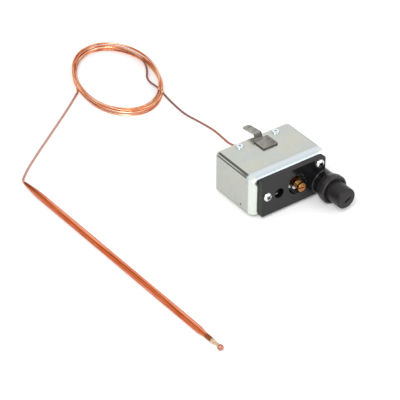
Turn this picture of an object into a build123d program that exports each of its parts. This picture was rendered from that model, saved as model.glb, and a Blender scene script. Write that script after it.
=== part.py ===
from build123d import *
import math
import os

os.makedirs("parts", exist_ok=True)

# Manual-reset high limit thermostat with a bulb and capillary.
# Millimetres. The case stands square to the axes: its front faces -Y, its width runs along X.
# The origin is the middle of the case's bottom face.

# Case
case_width = 63.5
case_depth = 43.0
case_height = 30.0
sheet = 0.9
front_radius = 4.8
top_front_radius = 7.5
edge_radius = 2.5
lid_sheet = 0.9
lid_gap = 0.15
lid_lip = 4.0
dimple_radius = 0.6
dimple_y = -8.8
dimple_z = 3.2

# Front plate
plate_left_inset = 5.3
plate_right_inset = 3.5
plate_top_inset = 1.1
plate_drop = 0.6
plate_thickness = 4.2
plate_corner_radius = 2.2
plate_left_corner_radius = 0.9
plate_edge_radius = 0.5
big_hole_radius = 7.9
small_hole_radius = 3.8

# Front screws
left_screw_inset = 4.3
right_screw_side_inset = 5.7
left_screw_drop = -0.5
right_screw_inset = 4.2
screw_head_radius = 3.25
screw_head_height = 2.1
screw_shank_radius = 1.7
screw_length = 7.2
screw_recess = 1.3

# Top fittings
top_centre_x = 1.2
rivet_spread = 31.2
rivet_inset = 5.4
rivet_head_radius = 3.0
rivet_head_height = 0.9
rivet_shank_radius = 1.6
rivet_dimple_radius = 0.9
rivet_dimple_depth = 0.45
tab_plate_x = 2.6
tab_plate_width = 12.4
tab_plate_depth = 12.3
tab_plate_sheet = 1.1
tab_rear_inset = 6.2
tab_blade_x = 1.5
tab_riser = 4.1
tab_riser_lean = 1.6
tab_bend_radius = 1.2
tab_foot = 3.0
tab_blade_length = 14.1
tab_droop = 8.0
blade_width = 6.35
blade_sheet = 0.8
blade_chamfer = 1.3
blade_hole_radius = 0.95
blade_hole_inset = 4.2

# Adjusting screw, its spring and bush
adjust_x = 4.0
adjust_drop = 9.6
adjust_stand_off = 5.2
adjust_head_radius = 3.3
adjust_head_height = 2.2
adjust_shank_radius = 1.6
adjust_slot_width = 0.9
adjust_slot_depth = 1.1
adjust_range = 300.0
bush_across_flats = 8.2
bush_hex_height = 2.8
bush_shank_radius = 3.0
bush_collar_radius = 3.8
bush_collar = 1.0
adjust_wire = 0.8
adjust_turns = 4

# Stop screw in the small hole
stop_spacing = 15.8
stop_drop = 1.0
stop_head_radius = 2.6
stop_head_height = 1.6
stop_shank_radius = 1.3
stop_slot_width = 0.7
stop_slot_depth = 0.7
stop_distance = 0.75

# Reset button unit
reset_inset = 5.55
reset_z = 8.0
boss_radius = 8.9
boss_height = 5.3
boss_fillet = 1.1
nose_radius = 7.9
nose_height = 2.8
collar_radius = 10.7
collar_back_radius = 9.4
collar_bore_radius = 9.1
collar_length = 7.9
collar_recess = 5.0
collar_edge = 0.7
cap_radius = 7.7
cap_edge_radius = 1.3
cap_flange_radius = 8.6
cap_flange = 1.1
cap_length = 15.0
cap_rest_gap = 0.6
reset_travel = 2.5
cap_slot_length = 6.0
cap_slot_width = 1.5
cap_slot_depth = 0.8
cap_slot_angle = 27.5
cap_slot_x = 1.0
cap_slot_z = -0.9
cap_bore_depth = 5.1
stem_radius = 1.5
stem_socket = 7.0
stem_gap = 2.15
spring_bore_radius = 3.6
spring_bore_floor = 5.0
reset_coil_radius = 2.8
reset_wire = 0.8
reset_turns = 6
clip_radius = 2.6
clip_sheet = 0.7
clip_gap = 0.8

# Clearances
running = 0.05
seat_gap = 0.03
clear_gap = 0.3

# Switch frame
frame_sheet = 1.2
frame_left_gap = 5.85
frame_stem_gap = 3.9
frame_top_left_gap = 10.85
frame_top_right_gap = 9.35
frame_rear_left = -13.0
frame_rear_right = 9.0
frame_foot = 2.6
frame_rear_bend = 0.9

# Sensing capsule
capsule_x = -1.5
capsule_gap = 2.5
capsule_thickness = 3.4
capsule_shoulder = 1.1
capsule_shoulder_radius = 4.5
ripple = 0.35
ripple_pitch = 1.3
hub_radius = 3.4
hub_height = 1.3
stud_radius = 3.0
stud_reach = 4.0
nut_across_flats = 9.5
nut_height = 2.8
ferrule_radius = 1.5
ferrule_length = 3.0
pad_radius = 2.1
pad_depth = 2.0
pad_stand_out = 2.8

# Sensing lever, its pivot and the range spring
lever_sheet = 1.2
lever_left = -14.0
lever_right = 9.2
lever_foot = 6.0
lever_shoulder_drop = 3.7
lever_arm_overhang = 2.0
lever_arm_height = 5.0
pivot_drop = 3.4
pivot_radius = 1.25
eye_radius = 2.5
eye_half_width = 9.3
ear_sheet = 1.2
ear_width = 7.0
ear_drop = 6.4
pin_overhang = 0.7
range_wire = 0.9
range_turns = 5
range_seat_flange = 1.4
range_seat_radius = 3.6
range_seat_spigot = 1.6
range_front_gap = 9.4
range_socket = 0.9

# Switch
carrier_left_gap = 3.4
carrier_front_gap = 10.0
carrier_foot = 1.1
carrier_floor = 2.9
carrier_side_gap = 0.4
panel_left_gap = 0.5
panel_right_gap = 1.85
panel_top = 16.8
panel_sheet = 2.0
wall_left_gap = 2.4
wall_right_gap = 0.2
wall_sheet = 3.6
wall_top = 13.6
post_to_lever = 9.2
post_radius = 1.5
post_head_radius = 2.4
post_head_height = 0.8
arm_eye_radius = 2.6
arm_eye_height = 7.0
arm_height = 5.0
arm_sheet = 0.8
arm_reach = 11.7
arm_overhang = 2.0
moving_contact_radius = 1.8
fixed_contact_radius = 2.0
contact_height = 0.8
transfer_reach = 5.5
transfer_radius = 1.0
tip_gap = 0.05
terminal_reach = 8.0
terminal_1_side = 1.0
terminal_2_side = 1.5
contact_wire = 0.6

# Bulb, lying on the surface that the reset collar touches
bulb_radius = 2.38
bulb_start_x = -136.1
bulb_start_y = 100.9
bulb_turn = 1.9
bulb_tip_radius = 1.0
bulb_wall = 0.5
bulb_length = 197.5
bulb_taper = 17.0
shoulder_length = 5.5
neck_radius = 1.6
neck_length = 7.3
ring_radius = 1.5
ring_length = 2.9
stub_radius = 1.15
stub_length = 4.1
ball_radius = 2.05

# Capillary
capillary_radius = 0.8
coil_centre_x = -7.3
coil_centre_y = 179.4
coil_outer_a = 33.1
coil_outer_b = 53.2
coil_turn = -17.9
coil_band = 5.5
coil_height = 3.4
coil_edge_radius = 1.2

# Worked out from the sizes above
front_y = -case_depth / 2
rear_y = case_depth / 2
inner_front_y = front_y + sheet
inner_rear_y = rear_y - sheet
inner_top_z = case_height - sheet
plate_front_y = front_y - plate_thickness
frame_front_y = inner_front_y + frame_sheet
frame_rear_y = inner_rear_y - frame_sheet
frame_under_z = inner_top_z - frame_sheet
plate_left = -case_width / 2 + plate_left_inset
plate_right = case_width / 2 - plate_right_inset
plate_height = case_height - plate_top_inset
pivot_z = frame_under_z - pivot_drop
lever_shoulder = pivot_z - lever_shoulder_drop
adjust_z = pivot_z - adjust_drop
stop_x = adjust_x - stop_spacing
stop_z = adjust_z - stop_drop
left_screw_x = plate_left + left_screw_inset
left_screw_z = adjust_z - left_screw_drop
right_screw_x = plate_right - right_screw_side_inset
right_screw_z = plate_height - right_screw_inset
reset_x = case_width / 2 - reset_inset
frame_front_left = -case_width / 2 + sheet + frame_left_gap
frame_front_right = reset_x - stem_radius - frame_stem_gap
frame_top_left = -case_width / 2 + sheet + frame_top_left_gap
frame_top_right = case_width / 2 - sheet - frame_top_right_gap
capsule_z = (lid_sheet + frame_under_z) / 2
capsule_radius = (frame_under_z - lid_sheet) / 2 - capsule_gap
rivet_y = rear_y - rivet_inset
bush_front_y = front_y - bush_hex_height
adjust_front_y = plate_front_y - adjust_stand_off
capsule_rear_y = frame_rear_y - capsule_shoulder
capsule_front_y = capsule_rear_y - capsule_thickness
lever_rear_y = capsule_front_y - hub_height - pad_stand_out
lever_y = lever_rear_y - lever_sheet / 2
lever_front_y = lever_rear_y - lever_sheet
range_front_y = frame_front_y + bush_collar + range_front_gap
contact_x = reset_x
post_x = contact_x - arm_reach
post_y = lever_y - post_to_lever
arm_length = arm_reach + arm_overhang
transfer_x = post_x + transfer_reach
lever_arm_end = transfer_x + lever_arm_overhang
terminal_1_x = contact_x + terminal_1_side
terminal_2_x = post_x + terminal_2_side
carrier_left = post_x - post_radius - carrier_left_gap
carrier_front_y = post_y - carrier_front_gap
panel_left = post_x - panel_left_gap
panel_right = case_width / 2 - sheet - panel_right_gap
wall_left = post_x + wall_left_gap
wall_right = terminal_1_x - wall_right_gap
stud_end_y = rear_y + stud_reach
ferrule_end_y = stud_end_y + ferrule_length
arm_front_y = post_y - arm_sheet / 2
arm_rear_y = post_y + arm_sheet / 2
fixed_contact_y = arm_rear_y + contact_height + tip_gap
terminal_front_y = fixed_contact_y + contact_height
wall_front_y = terminal_front_y + blade_sheet
wall_rear_y = wall_front_y + wall_sheet
floor_top_z = carrier_foot + carrier_floor
panel_rear_y = rear_y - 0.1
nose_front_y = plate_front_y - boss_height - nose_height
collar_back_y = plate_front_y - boss_height
collar_front_y = collar_back_y - collar_length
cap_back_y = nose_front_y - cap_rest_gap - reset_travel
cap_front_y = cap_back_y - cap_length
stem_end_y = arm_front_y - reset_travel - stem_gap
floor_z = reset_z - collar_radius
bulb_z = floor_z + bulb_radius

# The tube's route from the ferrule to the coil, and from the coil to the bulb's tip
tip_reach = 2.0
bulb_along = (math.sin(math.radians(bulb_turn)), -math.cos(math.radians(bulb_turn)))
bulb_tip = (bulb_start_x - tip_reach * bulb_along[0], bulb_start_y - tip_reach * bulb_along[1])
bulb_lead_in = (bulb_tip[0] - 3.0 * bulb_along[0], bulb_tip[1] - 3.0 * bulb_along[1])
case_lead_points = [
    (capsule_x, ferrule_end_y, capsule_z),
    (capsule_x, ferrule_end_y + 6.0, capsule_z),
    (-2.9, 44.5, 13.2),
    (0.4, 60.0, 11.2),
    (1.8, 79.0, 8.2),
    (1.6, 97.5, 5.2),
    (2.6, 115.0, 3.1),
    (5.0, 132.5, 2.4),
    (4.6, 143.0, 3.2),
    (7.8, 158.5, 2.3),
    (13.4, 172.0, 1.1),
    (19.0, 186.0, 0.1),
    (22.3, 198.4, -0.6),
]
bulb_lead_points = [
    (-39.7, 184.4, -1.9),
    (-47.2, 179.0, -1.9),
    (-60.9, 167.8, -1.9),
    (-83.0, 149.9, -1.9),
    (-111.6, 128.5, -1.9),
    (-125.6, 117.3, -1.9),
    (-132.4, 110.6, -1.5),
    (bulb_lead_in[0], bulb_lead_in[1], bulb_z),
    (bulb_tip[0], bulb_tip[1], bulb_z),
]


def slab(x0, x1, y0, y1, z0, z1):
    """A block between two corners."""
    return Pos((x0 + x1) / 2, (y0 + y1) / 2, (z0 + z1) / 2) * Box(x1 - x0, y1 - y0, z1 - z0)


def rod_x(radius, x0, x1, y, z):
    return Pos((x0 + x1) / 2, y, z) * Rot(0, 90, 0) * Cylinder(radius, x1 - x0)


def rod_y(radius, y0, y1, x, z):
    return Pos(x, (y0 + y1) / 2, z) * Rot(90, 0, 0) * Cylinder(radius, y1 - y0)


def rod_z(radius, z0, z1, x, y):
    return Pos(x, y, (z0 + z1) / 2) * Cylinder(radius, z1 - z0)


def turned_y(profile, x, z):
    """A piece turned about a line along Y from a closed outline of (radius, y) points."""
    return Pos(x, 0, z) * revolve(make_face(Polyline(*profile, close=True)), Axis.Y)


def hexagon_y(across_flats, y0, y1, x, z):
    return Pos(x, y1, z) * Rot(90, 0, 0) * extrude(RegularPolygon(across_flats / math.sqrt(3), 6), y1 - y0)


def spring_z(radius, wire, turns, length):
    """An open coil spring that stands on z = 0."""
    path = Helix((length - wire) / turns, length - wire, radius)
    section = Plane(origin=path @ 0, z_dir=path % 0) * RegularPolygon(wire / 2, 6)
    return Pos(0, 0, wire / 2) * sweep(section, path=path, is_frenet=True)


def spring_y(radius, wire, turns, y0, y1, x, z):
    return Pos(x, y0, z) * Rot(-90, 0, 0) * spring_z(radius, wire, turns, y1 - y0)


def blade(length):
    """A quick-connect blade along +Y from y = 0, its underside on z = 0, with a chamfered end."""
    strip = Pos(0, length / 2, blade_sheet / 2) * Box(blade_width, length, blade_sheet)
    corners = strip.edges().filter_by(Axis.Z).group_by(Axis.Y)[-1]
    strip = chamfer(corners, blade_chamfer)
    return strip - rod_z(blade_hole_radius, -1, blade_sheet + 1, 0, length - blade_hole_inset)


def case_form(inset):
    """The can's rounded form, drawn in by inset on every side but the open bottom."""
    height = case_height - inset
    body = Pos(0, 0, height / 2) * Box(case_width - 2 * inset, case_depth - 2 * inset, height)
    body = fillet(body.edges().filter_by(Axis.Y).sort_by(Axis.Z)[-2:], edge_radius - inset)
    front_edges = body.faces().sort_by(Axis.Y)[0].edges().sort_by(Axis.Z)[1:]
    body = fillet(front_edges, front_radius - inset)
    rear_edges = body.faces().sort_by(Axis.Y)[-1].edges().sort_by(Axis.Z)[1:]
    body = fillet(rear_edges, edge_radius - inset)
    profile = Pos(0, 0, height / 2) * Box(case_width + 2, case_depth - 2 * inset, height)
    top_front_edge = profile.edges().filter_by(Axis.X).sort_by(Axis.Z)[-2:].sort_by(Axis.Y)[0]
    return body & fillet(top_front_edge, top_front_radius - inset)


def rivet_places():
    return [top_centre_x - rivet_spread / 2, top_centre_x + rivet_spread / 2]


def make_case_shell():
    shell = case_form(0) - case_form(sheet)
    for x, z in ((left_screw_x, left_screw_z), (right_screw_x, right_screw_z)):
        shell -= rod_y(screw_shank_radius + running, front_y - 1, inner_front_y + 1, x, z)
    shell -= rod_y(bush_shank_radius + running, front_y - 1, inner_front_y + 1, adjust_x, adjust_z)
    shell -= rod_y(stop_shank_radius + running, front_y - 1, inner_front_y + 1, stop_x, stop_z)
    shell -= rod_y(stem_radius + clear_gap, front_y - 1, inner_front_y + 2, reset_x, reset_z)
    shell -= rod_y(stud_radius + running, inner_rear_y - 1, rear_y + 1, capsule_x, capsule_z)
    shell -= rod_x(dimple_radius, -case_width / 2 - 1, -case_width / 2 + sheet + 0.5, dimple_y, dimple_z)
    for x in rivet_places():
        shell -= rod_z(rivet_shank_radius + running, inner_top_z - 1, case_height + 1, x, rivet_y)
    return shell - slab(panel_left - lid_gap, panel_right + lid_gap, inner_rear_y - 1, rear_y + 1,
                        -1, panel_top + lid_gap)


def make_base_plate():
    """The lid of the can: a plate with two side lips, the left one with the pin's dimple."""
    half = case_width / 2 - sheet - lid_gap
    front = inner_front_y + lid_gap
    rear = inner_rear_y - lid_gap
    plate = slab(-half, half, front, rear, 0, lid_sheet)
    corners = plate.edges().filter_by(Axis.Z).group_by(Axis.Y)
    plate = fillet(corners[0], front_radius - sheet)
    plate = fillet(plate.edges().filter_by(Axis.Z).group_by(Axis.Y)[-1], edge_radius - sheet)
    for side in (-1, 1):
        outer = side * half
        inner = side * (half - lid_sheet)
        plate += slab(min(outer, inner), max(outer, inner), front + front_radius, rear - edge_radius,
                      0, lid_lip)
    return plate - rod_x(dimple_radius, -half - 1, -half + lid_sheet / 2, dimple_y, dimple_z)


def boss_root():
    """Hollow curve between the plate's face and the boss, kept within the plate's outline."""
    rim = boss_radius + boss_fillet
    face_y = plate_front_y + plate_edge_radius
    outline = [(boss_radius - 1, face_y), (boss_radius - 1, plate_front_y - boss_fillet)]
    for step in range(7):
        turn = math.radians(15 * step)
        outline.append((rim - boss_fillet * math.cos(turn), plate_front_y - boss_fillet * (1 - math.sin(turn))))
    outline.append((rim, face_y))
    reach = slab(plate_left, plate_right - plate_edge_radius, plate_front_y - boss_fillet, face_y,
                 plate_edge_radius - plate_drop, plate_height - plate_edge_radius)
    return turned_y(outline, reset_x, reset_z) & reach


def make_front_plate():
    """Black moulding on the front of the can, in one piece with the reset boss."""
    plate = slab(plate_left, plate_right, plate_front_y, front_y, -plate_drop, plate_height)
    sides = plate.edges().filter_by(Axis.Y).group_by(Axis.X)
    plate = fillet(sides[-1], plate_corner_radius)
    sides = plate.edges().filter_by(Axis.Y).group_by(Axis.X)
    plate = fillet(sides[0], plate_left_corner_radius)
    plate = fillet(plate.faces().sort_by(Axis.Y)[0].edges(), plate_edge_radius)
    plate += rod_y(boss_radius, plate_front_y - boss_height, front_y, reset_x, reset_z)
    plate += rod_y(nose_radius, nose_front_y, front_y, reset_x, reset_z)
    plate += boss_root()
    plate -= rod_y(spring_bore_radius, nose_front_y - 1, front_y - spring_bore_floor, reset_x, reset_z)
    plate -= rod_y(stem_radius + running, nose_front_y, front_y + 1, reset_x, reset_z)
    plate -= rod_y(big_hole_radius, plate_front_y - 1, front_y + 1, adjust_x, adjust_z)
    plate -= rod_y(small_hole_radius, plate_front_y - 1, front_y + 1, stop_x, stop_z)
    for x, z in ((left_screw_x, left_screw_z), (right_screw_x, right_screw_z)):
        plate -= rod_y(screw_shank_radius + running, plate_front_y - 1, front_y + 1, x, z)
    return plate


def make_front_screw(x, z):
    """Pan-head screw with a cross recess, seated on the plate's face."""
    head_y = plate_front_y - screw_head_height
    screw = turned_y([(0, head_y), (screw_head_radius * 0.62, head_y),
                      (screw_head_radius * 0.9, head_y + screw_head_height * 0.28),
                      (screw_head_radius, head_y + screw_head_height * 0.62),
                      (screw_head_radius, plate_front_y), (screw_shank_radius, plate_front_y),
                      (screw_shank_radius, plate_front_y + screw_length - 1),
                      (screw_shank_radius * 0.6, plate_front_y + screw_length),
                      (0, plate_front_y + screw_length)], x, z)
    for turn in (35, 125):
        bar = Pos(x, head_y, z) * Rot(0, turn, 0) * Box(screw_head_radius * 1.05, 2 * screw_recess, 0.8)
        screw -= bar
    return screw


def make_rivets():
    pieces = []
    for x in rivet_places():
        rivet = rod_z(rivet_head_radius, case_height, case_height + rivet_head_height, x, rivet_y)
        rivet = fillet(rivet.faces().sort_by(Axis.Z)[-1].edges(), rivet_head_height * 0.7)
        rivet -= rod_z(rivet_dimple_radius, case_height + rivet_head_height - rivet_dimple_depth,
                       case_height + rivet_head_height + 1, x, rivet_y)
        rivet += rod_z(rivet_shank_radius, frame_under_z, case_height + 0.1, x, rivet_y)
        rivet += rod_z(rivet_head_radius * 0.8, frame_under_z - rivet_head_height, frame_under_z, x, rivet_y)
        pieces.append(rivet)
    return Compound(pieces)


def make_earth_tab():
    """Steel plate welded on the can's top, with a riser and a drooping quick-connect blade."""
    rear = rear_y - tab_rear_inset
    front = rear - tab_plate_depth
    plate = slab(tab_plate_x - tab_plate_width / 2, tab_plate_x + tab_plate_width / 2, front, rear,
                 case_height, case_height + tab_plate_sheet)
    plate = fillet(plate.edges().filter_by(Axis.Z), 0.6)
    middle_z = case_height + blade_sheet / 2
    bend_y = rear + tab_riser_lean
    bend_z = middle_z + tab_riser
    end_y = bend_y + tab_blade_length * math.cos(math.radians(tab_droop))
    end_z = bend_z - tab_blade_length * math.sin(math.radians(tab_droop))
    path = FilletPolyline((tab_blade_x, rear - tab_foot, middle_z), (tab_blade_x, rear, middle_z),
                          (tab_blade_x, bend_y, bend_z), (tab_blade_x, end_y, end_z), radius=tab_bend_radius)
    section = Plane(origin=path @ 0, x_dir=(1, 0, 0), z_dir=path % 0) * Rectangle(blade_width, blade_sheet)
    strip = sweep(section, path=path)
    strip = chamfer(strip.faces().sort_by(Axis.Y)[-1].edges().filter_by(lambda edge: edge.length < blade_width / 2),
                    blade_chamfer)
    hole = Rot(-tab_droop, 0, 0) * rod_z(blade_hole_radius, -2, 2, 0, -blade_hole_inset)
    strip -= Pos(tab_blade_x, end_y, end_z) * hole
    return plate + strip


def make_adjust_bush():
    """Brass bush: hexagon outside the can, collar flared over inside the frame."""
    bush = hexagon_y(bush_across_flats, bush_front_y, front_y, adjust_x, adjust_z)
    bush += rod_y(bush_shank_radius, front_y, frame_front_y + bush_collar, adjust_x, adjust_z)
    bush += rod_y(bush_collar_radius, frame_front_y, frame_front_y + bush_collar, adjust_x, adjust_z)
    return bush - rod_y(adjust_shank_radius + running, bush_front_y - 1, frame_front_y + bush_collar + 1,
                        adjust_x, adjust_z)


def make_adjusting_screw():
    head_back = adjust_front_y + adjust_head_height
    head = rod_y(adjust_head_radius, adjust_front_y, head_back, adjust_x, adjust_z)
    head = fillet(head.faces().sort_by(Axis.Y)[0].edges(), 0.5)
    screw = head + rod_y(adjust_shank_radius, head_back, range_front_y + range_socket - running,
                         adjust_x, adjust_z)
    slot = Box(2 * adjust_head_radius + 1, 2 * adjust_slot_depth, adjust_slot_width)
    return screw - Pos(adjust_x, adjust_front_y, adjust_z) * Rot(0, 8, 0) * slot


def make_spring_seat():
    """Cup on the screw's end that carries the range spring."""
    flange_back = range_front_y + range_seat_flange
    seat = rod_y(range_seat_radius, range_front_y, flange_back, adjust_x, adjust_z)
    seat += rod_y(range_coil_radius() - range_wire, flange_back, flange_back + range_seat_spigot,
                  adjust_x, adjust_z)
    return seat - rod_y(adjust_shank_radius + running, range_front_y - 1, range_front_y + range_socket,
                        adjust_x, adjust_z)


def range_coil_radius():
    return range_seat_radius - range_wire / 2 - clear_gap


def make_range_spring():
    return spring_y(range_coil_radius(), range_wire, range_turns, range_front_y + range_seat_flange + seat_gap,
                    lever_front_y - seat_gap, adjust_x, adjust_z)


def make_adjusting_spring():
    radius = adjust_head_radius - adjust_wire / 2 - 0.2
    return spring_y(radius, adjust_wire, adjust_turns, adjust_front_y + adjust_head_height + seat_gap,
                    bush_front_y - seat_gap, adjust_x, adjust_z)


def make_stop_screw():
    head_y = front_y - stop_head_height
    screw = rod_y(stop_head_radius, head_y, front_y, stop_x, stop_z)
    screw = fillet(screw.faces().sort_by(Axis.Y)[0].edges(), 0.4)
    screw += rod_y(stop_shank_radius, front_y, lever_front_y - stop_distance, stop_x, stop_z)
    slot = Box(2 * stop_head_radius + 1, 2 * stop_slot_depth, stop_slot_width)
    return screw - Pos(stop_x, head_y, stop_z) * Rot(0, -30, 0) * slot


def make_reset_collar():
    """Guard ring that sits on the boss's nose and flares round the button."""
    recess_y = collar_front_y + collar_recess
    return turned_y([(nose_radius + running, collar_back_y), (collar_back_radius, collar_back_y),
                     (collar_back_radius + 0.2, collar_back_y - collar_edge),
                     (collar_radius, collar_back_y - collar_length / 2),
                     (collar_radius, collar_front_y + collar_edge * 1.3),
                     (collar_radius - collar_edge / 3, collar_front_y + collar_edge / 3),
                     (collar_radius - collar_edge, collar_front_y),
                     (collar_bore_radius, collar_front_y), (collar_bore_radius, recess_y),
                     (nose_radius + running, recess_y)], reset_x, reset_z)


def make_reset_cap():
    cap = rod_y(cap_radius, cap_front_y, cap_back_y, reset_x, reset_z)
    cap = fillet(cap.faces().sort_by(Axis.Y)[0].edges(), cap_edge_radius)
    cap += rod_y(cap_flange_radius, cap_back_y - cap_flange, cap_back_y, reset_x, reset_z)
    cap -= rod_y(spring_bore_radius, cap_back_y - cap_bore_depth, cap_back_y + 1, reset_x, reset_z)
    cap -= rod_y(stem_radius, cap_back_y - cap_bore_depth - stem_socket, cap_back_y, reset_x, reset_z)
    slot = SlotOverall(cap_slot_length, cap_slot_width)
    slot = Rot(90, 0, 0) * extrude(slot, cap_slot_depth, both=True)
    return cap - Pos(reset_x + cap_slot_x, cap_front_y, reset_z + cap_slot_z) * Rot(0, -cap_slot_angle, 0) * slot


def make_reset_stem():
    return rod_y(stem_radius, cap_back_y - cap_bore_depth - stem_socket, stem_end_y, reset_x, reset_z)


def make_stem_clip():
    """Spring clip that keeps the stem from leaving the can."""
    clip_y = inner_front_y + clip_gap
    clip = rod_y(clip_radius, clip_y, clip_y + clip_sheet, reset_x, reset_z)
    clip -= rod_y(stem_radius, clip_y - 1, clip_y + 2, reset_x, reset_z)
    return clip - slab(reset_x - 0.7, reset_x + 0.7, clip_y - 1, clip_y + 2, reset_z - 5, reset_z)


def make_reset_spring():
    return spring_y(reset_coil_radius, reset_wire, reset_turns, cap_back_y - cap_bore_depth + seat_gap,
                    front_y - spring_bore_floor - seat_gap, reset_x, reset_z)


def frame_profile(inset):
    """The folded bracket's side view as a bar across X, drawn in by inset."""
    body = slab(frame_front_left, frame_top_right, inner_front_y + inset, inner_rear_y - inset,
                frame_foot - inset, inner_top_z - inset)
    top_edges = body.edges().filter_by(Axis.X).group_by(Axis.Z)[-1].sort_by(Axis.Y)
    body = fillet(top_edges[0], top_front_radius - sheet + clear_gap - inset)
    top_edges = body.edges().filter_by(Axis.X).group_by(Axis.Z)[-1].sort_by(Axis.Y)
    return fillet(top_edges[-1], frame_rear_bend + frame_sheet - inset)


def make_switch_frame():
    """Folded steel bracket: front flange, top flange with the pivot ears, rear flange."""
    inner = frame_profile(frame_sheet)
    frame = frame_profile(0) - inner - slab(frame_front_left, frame_top_right, inner_front_y + frame_sheet,
                                            inner_rear_y - frame_sheet, 0, frame_foot + 1)
    frame -= slab(frame_front_right, frame_top_right + 1, inner_front_y - 1, frame_front_y, 0,
                  case_height - top_front_radius)
    frame -= slab(frame_front_left - 1, frame_top_left, front_y + top_front_radius + 1, rear_y, 0, case_height)
    frame -= slab(frame_front_left - 1, frame_rear_left, frame_rear_y - 2, rear_y, 0,
                  frame_under_z - edge_radius)
    frame -= slab(frame_rear_right, frame_top_right + 1, frame_rear_y - 2, rear_y, 0,
                  frame_under_z - edge_radius)
    ear_x = eye_half_width + clear_gap
    for x0 in (-ear_x - ear_sheet, ear_x):
        ear = slab(x0, x0 + ear_sheet, lever_y - ear_width / 2, lever_y + ear_width / 2,
                   inner_top_z - frame_sheet / 2 - ear_drop, inner_top_z - frame_sheet / 2)
        ear = fillet(ear.edges().filter_by(Axis.X).group_by(Axis.Z)[0], ear_width * 0.35)
        frame += ear
    frame -= rod_x(pivot_radius + seat_gap, -ear_x - ear_sheet - 1, ear_x + ear_sheet + 1, lever_y, pivot_z)
    frame -= rod_y(bush_shank_radius + running, inner_front_y - 1, frame_front_y + 1, adjust_x, adjust_z)
    frame -= rod_y(stop_shank_radius + running, inner_front_y - 1, frame_front_y + 1, stop_x, stop_z)
    screw_end_y = plate_front_y + screw_length
    for x, z in ((left_screw_x, left_screw_z), (right_screw_x, right_screw_z)):
        frame -= rod_y(screw_shank_radius + running, inner_front_y - 1, screw_end_y + 1, x, z)
    frame -= rod_y(stud_radius + running, frame_rear_y - 1, inner_rear_y + 1, capsule_x, capsule_z)
    for x in rivet_places():
        frame -= rod_z(rivet_shank_radius + running, frame_under_z - 1, inner_top_z + 1, x, rivet_y)
    return frame


def make_pivot_pin():
    reach = eye_half_width + clear_gap + ear_sheet + pin_overhang
    return rod_x(pivot_radius, -reach, reach, lever_y, pivot_z)


def make_sensing_lever():
    """Sheet lever that hangs from the pivot pin, with an arm to the switch."""
    plate = slab(lever_left, lever_right, lever_front_y, lever_rear_y, lever_foot, lever_shoulder)
    plate = fillet(plate.edges().filter_by(Axis.Y).group_by(Axis.Z)[0], 2)
    plate += slab(-eye_half_width, eye_half_width, lever_front_y, lever_rear_y, lever_shoulder - 1,
                  pivot_z - eye_radius / 2)
    arm_z = reset_z - lever_arm_height / 2
    arm = slab(lever_right - 8, lever_arm_end, lever_front_y, lever_rear_y, arm_z, arm_z + lever_arm_height)
    lever = plate + fillet(arm.edges().filter_by(Axis.Y).group_by(Axis.X)[-1], 1.5)
    lever += rod_x(eye_radius, -eye_half_width, eye_half_width, lever_y, pivot_z)
    return lever - rod_x(pivot_radius + running, lever_left, lever_right + 5, lever_y, pivot_z)


def make_capsule():
    """Corrugated diaphragm capsule with its hub, shoulder and threaded stud."""
    count = int((capsule_radius - hub_radius - 1) / ripple_pitch)
    ripples = []
    for k in range(count):
        ripples.append((hub_radius + 0.6 + k * ripple_pitch, capsule_front_y + ripple * (k % 2)))
    back = [(r, capsule_rear_y - capsule_front_y + capsule_front_y - (y - capsule_front_y))
            for r, y in reversed(ripples) if r > capsule_shoulder_radius + 0.3]
    hub_y = capsule_front_y - hub_height
    middle_y = (capsule_front_y + capsule_rear_y) / 2
    outline = [(0, hub_y + pad_depth), (pad_radius + running, hub_y + pad_depth),
               (pad_radius + running, hub_y), (hub_radius, hub_y), (hub_radius, capsule_front_y)]
    outline += ripples
    outline += [(capsule_radius - 0.5, middle_y - 0.6), (capsule_radius, middle_y - 0.4),
                (capsule_radius, middle_y + 0.4), (capsule_radius - 0.5, middle_y + 0.6)]
    outline += back
    outline += [(capsule_shoulder_radius, capsule_rear_y), (capsule_shoulder_radius, frame_rear_y),
                (stud_radius, frame_rear_y), (stud_radius, stud_end_y - 0.5),
                (stud_radius - 0.5, stud_end_y), (0, stud_end_y)]
    return turned_y(outline, capsule_x, capsule_z)


def make_push_pad():
    """Domed pad between the capsule and the lever."""
    tip_y = lever_rear_y + tip_gap
    end_y = capsule_front_y - hub_height + pad_depth - running
    return turned_y([(0, tip_y), (pad_radius * 0.45, tip_y + 0.1), (pad_radius * 0.8, tip_y + 0.55),
                     (pad_radius, tip_y + 1.2), (pad_radius, end_y), (0, end_y)], capsule_x, capsule_z)


def make_stud_nut():
    nut = hexagon_y(nut_across_flats, rear_y, rear_y + nut_height, capsule_x, capsule_z)
    return nut - rod_y(stud_radius + seat_gap, rear_y - 1, rear_y + nut_height + 1, capsule_x, capsule_z)


def make_ferrule():
    return turned_y([(0, stud_end_y), (ferrule_radius, stud_end_y), (ferrule_radius, ferrule_end_y - 0.7),
                     (capillary_radius + 0.1, ferrule_end_y), (0, ferrule_end_y)], capsule_x, capsule_z)


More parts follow.
